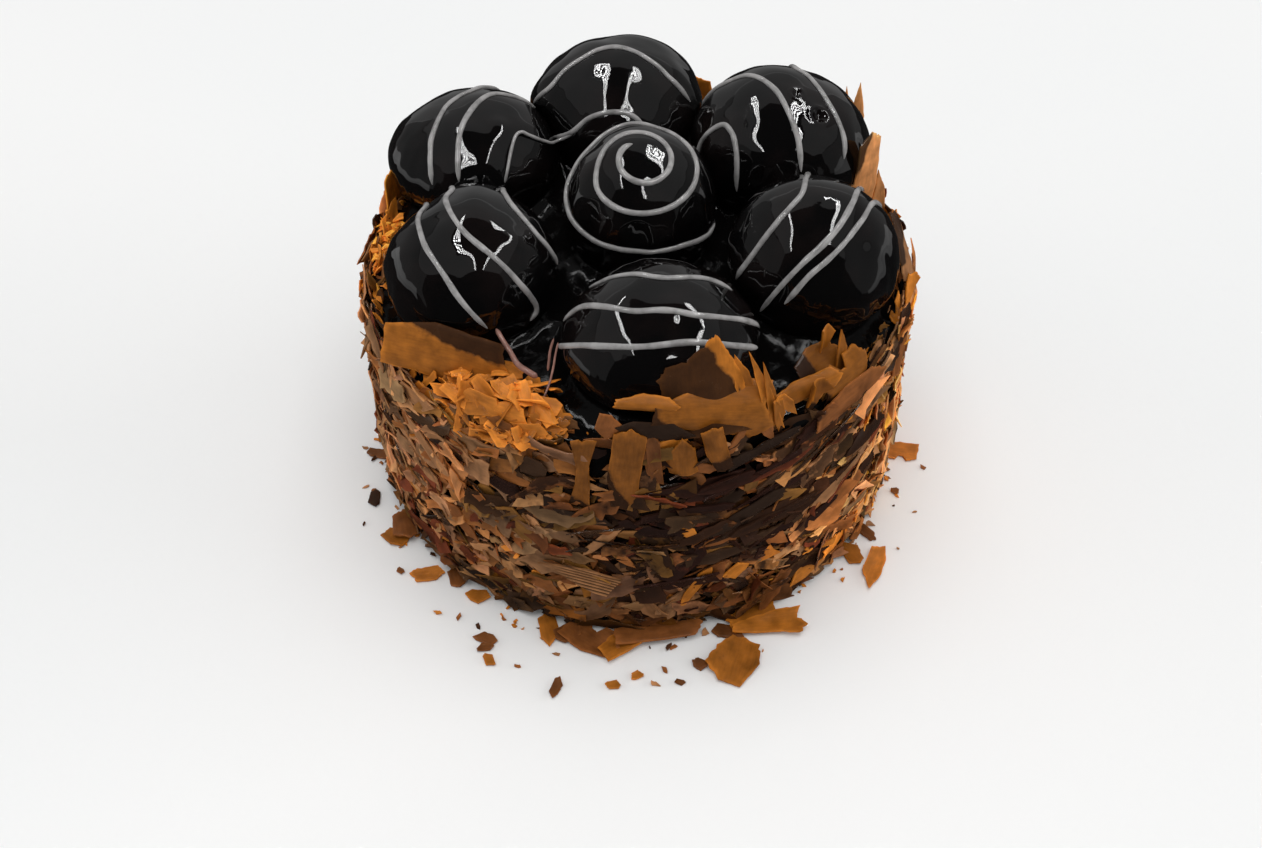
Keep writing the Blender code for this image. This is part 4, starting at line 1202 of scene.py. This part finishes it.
def add_rim_shavings(batch):
    for number in range(RIM_SHAVINGS):
        draw, size, outline = leaning_outline(2, number, RIM_SHAVINGS, RIM_LENGTHS)
        roll = math.radians(draw.uniform(-RIM_ROLL, RIM_ROLL))
        lean = math.radians(draw.uniform(*RIM_LEAN))
        bends = (draw.uniform(-0.1, 0.1), draw.uniform(-0.25, 0.25), draw.uniform(-0.1, 0.1))
        plate = sheet_mesh(draw, outline, *size, bends)
        place = (number * GOLDEN_TURN, BODY_RADIUS - RIM_INSET, BODY_TOP - RIM_INSET)
        spots, clear = first_clear(plate.points, *place, roll=roll, lean=lean)
        if clear:
            colour = paint(draw.choice(RIM_CHIP_PAINTS[:4])) * draw.uniform(0.7, 1)
            batch.lay(plate, spots, colour, draw.uniform(0, 0.5))


def add_foot_shavings(batch):
    for number in range(FOOT_SHAVINGS):
        draw, size, outline = leaning_outline(5, number, FOOT_SHAVINGS, FOOT_LENGTHS)
        lean = math.radians(draw.uniform(*FOOT_LEAN))
        height = FLOOR_GAP - min(across for along, across in outline) * math.cos(lean)
        plate = sheet_mesh(draw, outline, *size, (draw.uniform(-0.05, 0.1), draw.uniform(-0.1, 0.1), 0))
        spots = seated(plate.points, number * GOLDEN_TURN, BODY_RADIUS + FOOT_OUTSET, height, lean=lean)
        spots[:, 2] = np.maximum(spots[:, 2], FLOOR_CLEARANCE)
        batch.lay(plate, spots, paint("brown") * draw.uniform(0.7, 1), 0.1)


def add_rim_chips(batch, rng):
    """Small shavings that lie this way and that along the rim, few where glaze ran over it."""
    for number in range(RIM_CHIPS):
        length = rng.uniform(3.5, 10.5) * MM
        width = length * rng.uniform(0.25, 0.6)
        azimuth = (number + 0.4) * GOLDEN_TURN
        lean, roll = np.radians(rng.uniform((-75, -85), (25, 85)))
        twist = rng.normal(0, 0.3)
        bends = rng.normal(0, (0.1, 0.2, 0.15))
        plate = chip_mesh(rng, length, width, rng.uniform(0.35, 0.6) * MM, bends, LARGE_GRID)
        inset, rise = rng.uniform((-0.6, -1.5), (4.5, 1.8)) * MM
        place = (azimuth, BODY_RADIUS - inset, BODY_TOP + rise)
        spots = seated(plate.points, *place, lean=lean, roll=roll, twist=twist)
        glazed = near(math.degrees(azimuth), SPILLS[0][1], SPILLS[0][2]) > 0.4
        wide = np.hypot(spots[:, 0], spots[:, 1]).max() > BODY_RADIUS + RIM_LIMIT
        if wide or least_gap(spots) < PUFF_CLEARANCE or glazed and rng.random() < 0.75:
            continue
        colour = paint(rng.choice(RIM_CHIP_PAINTS)) * rng.uniform(0.6, 1.05)
        batch.lay(plate, spots, colour, wetness(rng, 0.22, (0.5, 1), (0, 0.45)))


def add_shreds(batch, rng):
    """Bright shreds that hang over the rim at the left."""
    for number in range(SHREDS):
        length, width = rng.uniform((2.5, 1.2), (6, 2.6)) * MM
        azimuth = math.radians(SHRED_AZIMUTH + rng.normal(0, 7))
        bends = rng.normal(0, (0.15, 0.3, 0.2))
        plate = chip_mesh(rng, length, width, rng.uniform(0.4, 0.6) * MM, bends, MIDDLE_GRID)
        turns = {"lean": rng.uniform(-1.5, 0.2), "roll": rng.uniform(-1.6, 1.6), "twist": rng.normal(0, 0.4)}
        inset, rise = rng.uniform((1.2, -5), (6, 3)) * MM
        spots = seated(plate.points, azimuth, BODY_RADIUS - inset, BODY_TOP + rise, **turns)
        if least_gap(spots) > PUFF_CLEARANCE:
            batch.lay(plate, spots, np.minimum(paint("bright") * rng.uniform(0.8, 1.5), BRIGHTEST), 0.1)


def make_edge_shavings(material):
    """The shavings at the rim and the foot: those of the solids, and smaller ones between."""
    batch = Batch()
    add_rim_shavings(batch)
    add_foot_shavings(batch)
    rng = np.random.default_rng(300)
    add_rim_chips(batch, rng)
    add_shreds(batch, rng)
    batch.finish("rim_and_foot_shavings", material)


def make_heap(material):
    """The heap of bright curls that spills over the rim, with small sticks at its lower right, its inner
    curls darkened as painted shade.
    """
    along, outward, upward = HEAP_SIZE
    rng = np.random.default_rng(7)
    batch = Batch()
    ball, faces = icosphere(4)
    mound = ball * (outward, along, upward) * HEAP_CORE
    mound = mound * (1 + 0.15 * ripple(mound, 3 * MM, 61))[:, None]
    mound = seated(mound, math.radians(HEAP_AZIMUTH), HEAP_REACH, HEAP_HEIGHT)
    batch.add(mound, faces, paint("brown") * 0.2, mound)
    for number in range(HEAP_CURLS + HEAP_STICKS):
        stick = number >= HEAP_CURLS
        lengths, widths, sides, rises = STICK_RANGES if stick else CURL_RANGES
        length = rng.uniform(*lengths) * MM
        width = rng.uniform(*widths) * (MM if stick else length)
        side = rng.uniform(*sides)
        rise = math.radians(rng.uniform(*rises))
        depth = rng.random()
        swell = math.sqrt(max(0.05, 1 - 0.8 * side * side)) * (0.72 + 0.34 * depth)
        azimuth = math.radians(HEAP_AZIMUTH + HEAP_SPREAD * side)
        reach = HEAP_REACH + outward * swell * math.cos(rise) * (1 if math.cos(rise) > 0 else HEAP_INWARD)
        height = HEAP_HEIGHT + upward * swell * math.sin(rise)
        curl = rng.choice((-1, 1)) * rng.uniform(0.1, 0.5)
        bends = (rng.normal(0, 0.1), curl, rng.normal(0, 0.25))
        size = (length, width, rng.uniform(0.4, 0.65) * MM)
        if stick:
            plate = chip_mesh(rng, *size, bends, MIDDLE_GRID)
        else:
            draw = random.Random(8 * SHAVING_SEED + number)
            outline = ragged_outline(draw, length, width, 7)
            plate = sheet_mesh(draw, outline, *size, bends, steps=3, tear=HEAP_TEAR)
        lean = -rise + rng.normal(0, 0.4)
        turns = {"lean": lean, "roll": rng.uniform(-1.6, 1.6), "twist": rng.normal(0, 0.4)}
        spots = seated(plate.points, azimuth, reach, height, **turns)
        if least_gap(spots) < PUFF_CLEARANCE:
            continue
        # Painted shade: curls that lie deeper in the heap are darker
        colour = paint("bright") * rng.uniform(0.6, 1.1) * (0.75 if stick else 0.4 + 0.6 * depth)
        batch.lay(plate, spots, colour, rng.uniform(0, 0.3))
    batch.finish("rim_heap_shavings", material)


def add_slabs(batch):
    """The slabs against the foot, piled a little, and the loose shavings flat on the floor."""
    for number, slab in enumerate((*SLABS, *LOOSE)):
        draw = random.Random(6 * SHAVING_SEED + number)
        size = (slab.length, slab.width)
        outline = named_outline(slab.shape, *size) if slab.shape else ragged_outline(draw, *size)
        bends = (draw.uniform(0, 0.14), draw.uniform(-0.1, 0.2), draw.uniform(-0.12, 0.12))
        plate = sheet_mesh(draw, outline, *size, SLAB_THICKNESS, bends, rings=6, steps=5, tear=SLAB_TEAR)
        turns = {"lean": -math.pi / 2, "roll": math.radians(slab.turn), "twist": draw.uniform(-0.06, 0.06)}
        spots = seated(plate.points, math.radians(slab.azimuth), slab.reach, 0, **turns)
        level = FLOOR_GAP + (SLAB_PILE * (number % 3) if number < len(SLABS) else 0)
        spots[:, 2] += level - spots[:, 2].min()
        shade = draw.uniform(0.5, 0.8) * (1 + 0.25 * ripple(spots, 5 * MM, 80 + number))
        batch.lay(plate, spots, paint(slab.finish) * shade[:, None], 0.2, 1.4)


def add_crumbs(batch):
    rng = np.random.default_rng(11)
    for number in range(CRUMBS):
        length = rng.uniform(0.7, 2.4) * MM
        azimuth = math.radians(rng.uniform(-185, 10))
        reach = BODY_RADIUS + 1.5 * MM + min(rng.exponential(CRUMB_SCATTER), CRUMB_LIMIT)
        size = (length, length * rng.uniform(0.4, 0.9), rng.uniform(0.3, 0.6) * MM)
        plate = chip_mesh(rng, *size, (0, 0, 0), SMALL_GRID)
        turns = {"lean": -math.pi / 2, "roll": rng.uniform(-3, 3), "twist": rng.normal(0, 0.3)}
        spots = seated(plate.points, azimuth, reach, 0, **turns)
        spots[:, 2] += FLOOR_CLEARANCE - spots[:, 2].min()
        colour = paint(rng.choice(("ochre", "brown", "milk", "dark"))) * rng.uniform(0.7, 1.1)
        batch.lay(plate, spots, colour, 0.1)


def make_fallen(material):
    """What has fallen round the foot."""
    batch = Batch()
    add_slabs(batch)
    add_crumbs(batch)
    batch.finish("fallen_shavings", material)


def make_stage():
    """A plain pale floor."""
    bpy.ops.mesh.primitive_plane_add(size=FLOOR_SIZE)
    floor = bpy.context.object
    floor.name = "pale_floor"
    floor.data.materials.append(floor_material())
    floor.visible_glossy = False


def area_light(name, place, target, size, radiance, diffuse):
    """A rectangular panel of light. It is either for matt surfaces or for reflections only."""
    data = bpy.data.lights.new(name, "AREA")
    data.shape = "RECTANGLE"
    data.size, data.size_y = size
    data.energy = radiance * math.pi * size[0] * size[1]
    light = bpy.data.objects.new(name, data)
    light.location = place
    light.rotation_euler = (Vector(target) - Vector(place)).to_track_quat("-Z", "Y").to_euler()
    light.visible_camera = False
    light.visible_glossy = not diffuse
    light.visible_diffuse = diffuse
    bpy.context.scene.collection.objects.link(light)


def make_lamp_strips():
    """The strips of lamps, which only show as reflections."""
    look = Look(bpy.data.materials.new("lamp_dots"))
    glow = look.add("Emission", "Emission", {"Strength": LAMP_STRENGTH})
    points, faces = [], []
    for middle in LAMP_STRIPS:
        for column in range(LAMP_COLUMNS):
            for row in range(LAMP_ROWS):
                x = middle + (column - (LAMP_COLUMNS - 1) / 2) * LAMP_PITCH
                y = LAMP_FRONT + row * LAMP_PITCH
                faces.append(tuple(range(len(points), len(points) + 4)))
                for right, back in ((-1, -1), (-1, 1), (1, 1), (1, -1)):
                    points.append((x + right * LAMP_HALF, y + back * LAMP_HALF, LAMP_HEIGHT))
    mesh = bpy.data.meshes.new("lamp_strips")
    mesh.from_pydata(points, [], faces)
    mesh.materials.append(look.finish({"Surface": glow}, "Material Output"))
    strips = bpy.data.objects.new("lamp_strips", mesh)
    bpy.context.scene.collection.objects.link(strips)
    strips.visible_camera = False
    strips.visible_diffuse = False
    strips.visible_shadow = False


def make_lights():
    """Soft studio light from above, and a small tent of dim panels round the cake for reflections."""
    look = Look(bpy.data.worlds.new("studio"))
    seen = look.maths("MULTIPLY", look.add("LightPath", "Is Camera Ray"), BACKDROP_LIGHT)
    soft = look.maths("MULTIPLY", look.add("LightPath", "Is Diffuse Ray"), WORLD_LIGHT)
    strength = look.maths("ADD", look.maths("ADD", seen, soft), WORLD_GLOW)
    bpy.context.scene.world = look.finish({"Strength": strength, "Color": (1, 1, 1, 1)}, "Background")
    for name, light in SOFT_LIGHTS.items():
        area_light(name, *light, diffuse=True)
    for name, panel in PANELS.items():
        area_light(name, *panel, diffuse=False)
    make_lamp_strips()


def make_camera():
    data = bpy.data.cameras.new("camera")
    data.lens = CAMERA_LENS
    data.sensor_width = CAMERA_SENSOR
    camera = bpy.data.objects.new("camera", data)
    camera.location = CAMERA_PLACE
    camera.rotation_euler = (math.radians(90 - CAMERA_PITCH), 0, 0)
    bpy.context.scene.collection.objects.link(camera)
    bpy.context.scene.camera = camera
    bpy.context.scene.view_settings.view_transform = "Standard"


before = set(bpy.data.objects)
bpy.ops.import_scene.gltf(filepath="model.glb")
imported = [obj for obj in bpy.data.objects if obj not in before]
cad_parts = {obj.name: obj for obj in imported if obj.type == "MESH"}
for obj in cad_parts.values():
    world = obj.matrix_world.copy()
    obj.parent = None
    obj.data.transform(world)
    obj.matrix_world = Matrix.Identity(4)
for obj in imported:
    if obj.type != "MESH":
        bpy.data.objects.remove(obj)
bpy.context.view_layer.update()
glaze, icing, shaved = glaze_material(), line_material(), shaving_material()
for profiterole in PUFFS:
    make_puff(profiterole, glaze)
    make_lines(profiterole, icing)
make_trails(icing)
make_core(core_material())
make_wall_shavings(shaved)
make_wall_chips(shaved)
make_sheets(shaved)
make_edge_shavings(shaved)
make_heap(shaved)
make_fallen(shaved)
make_stage()
make_lights()
make_camera()
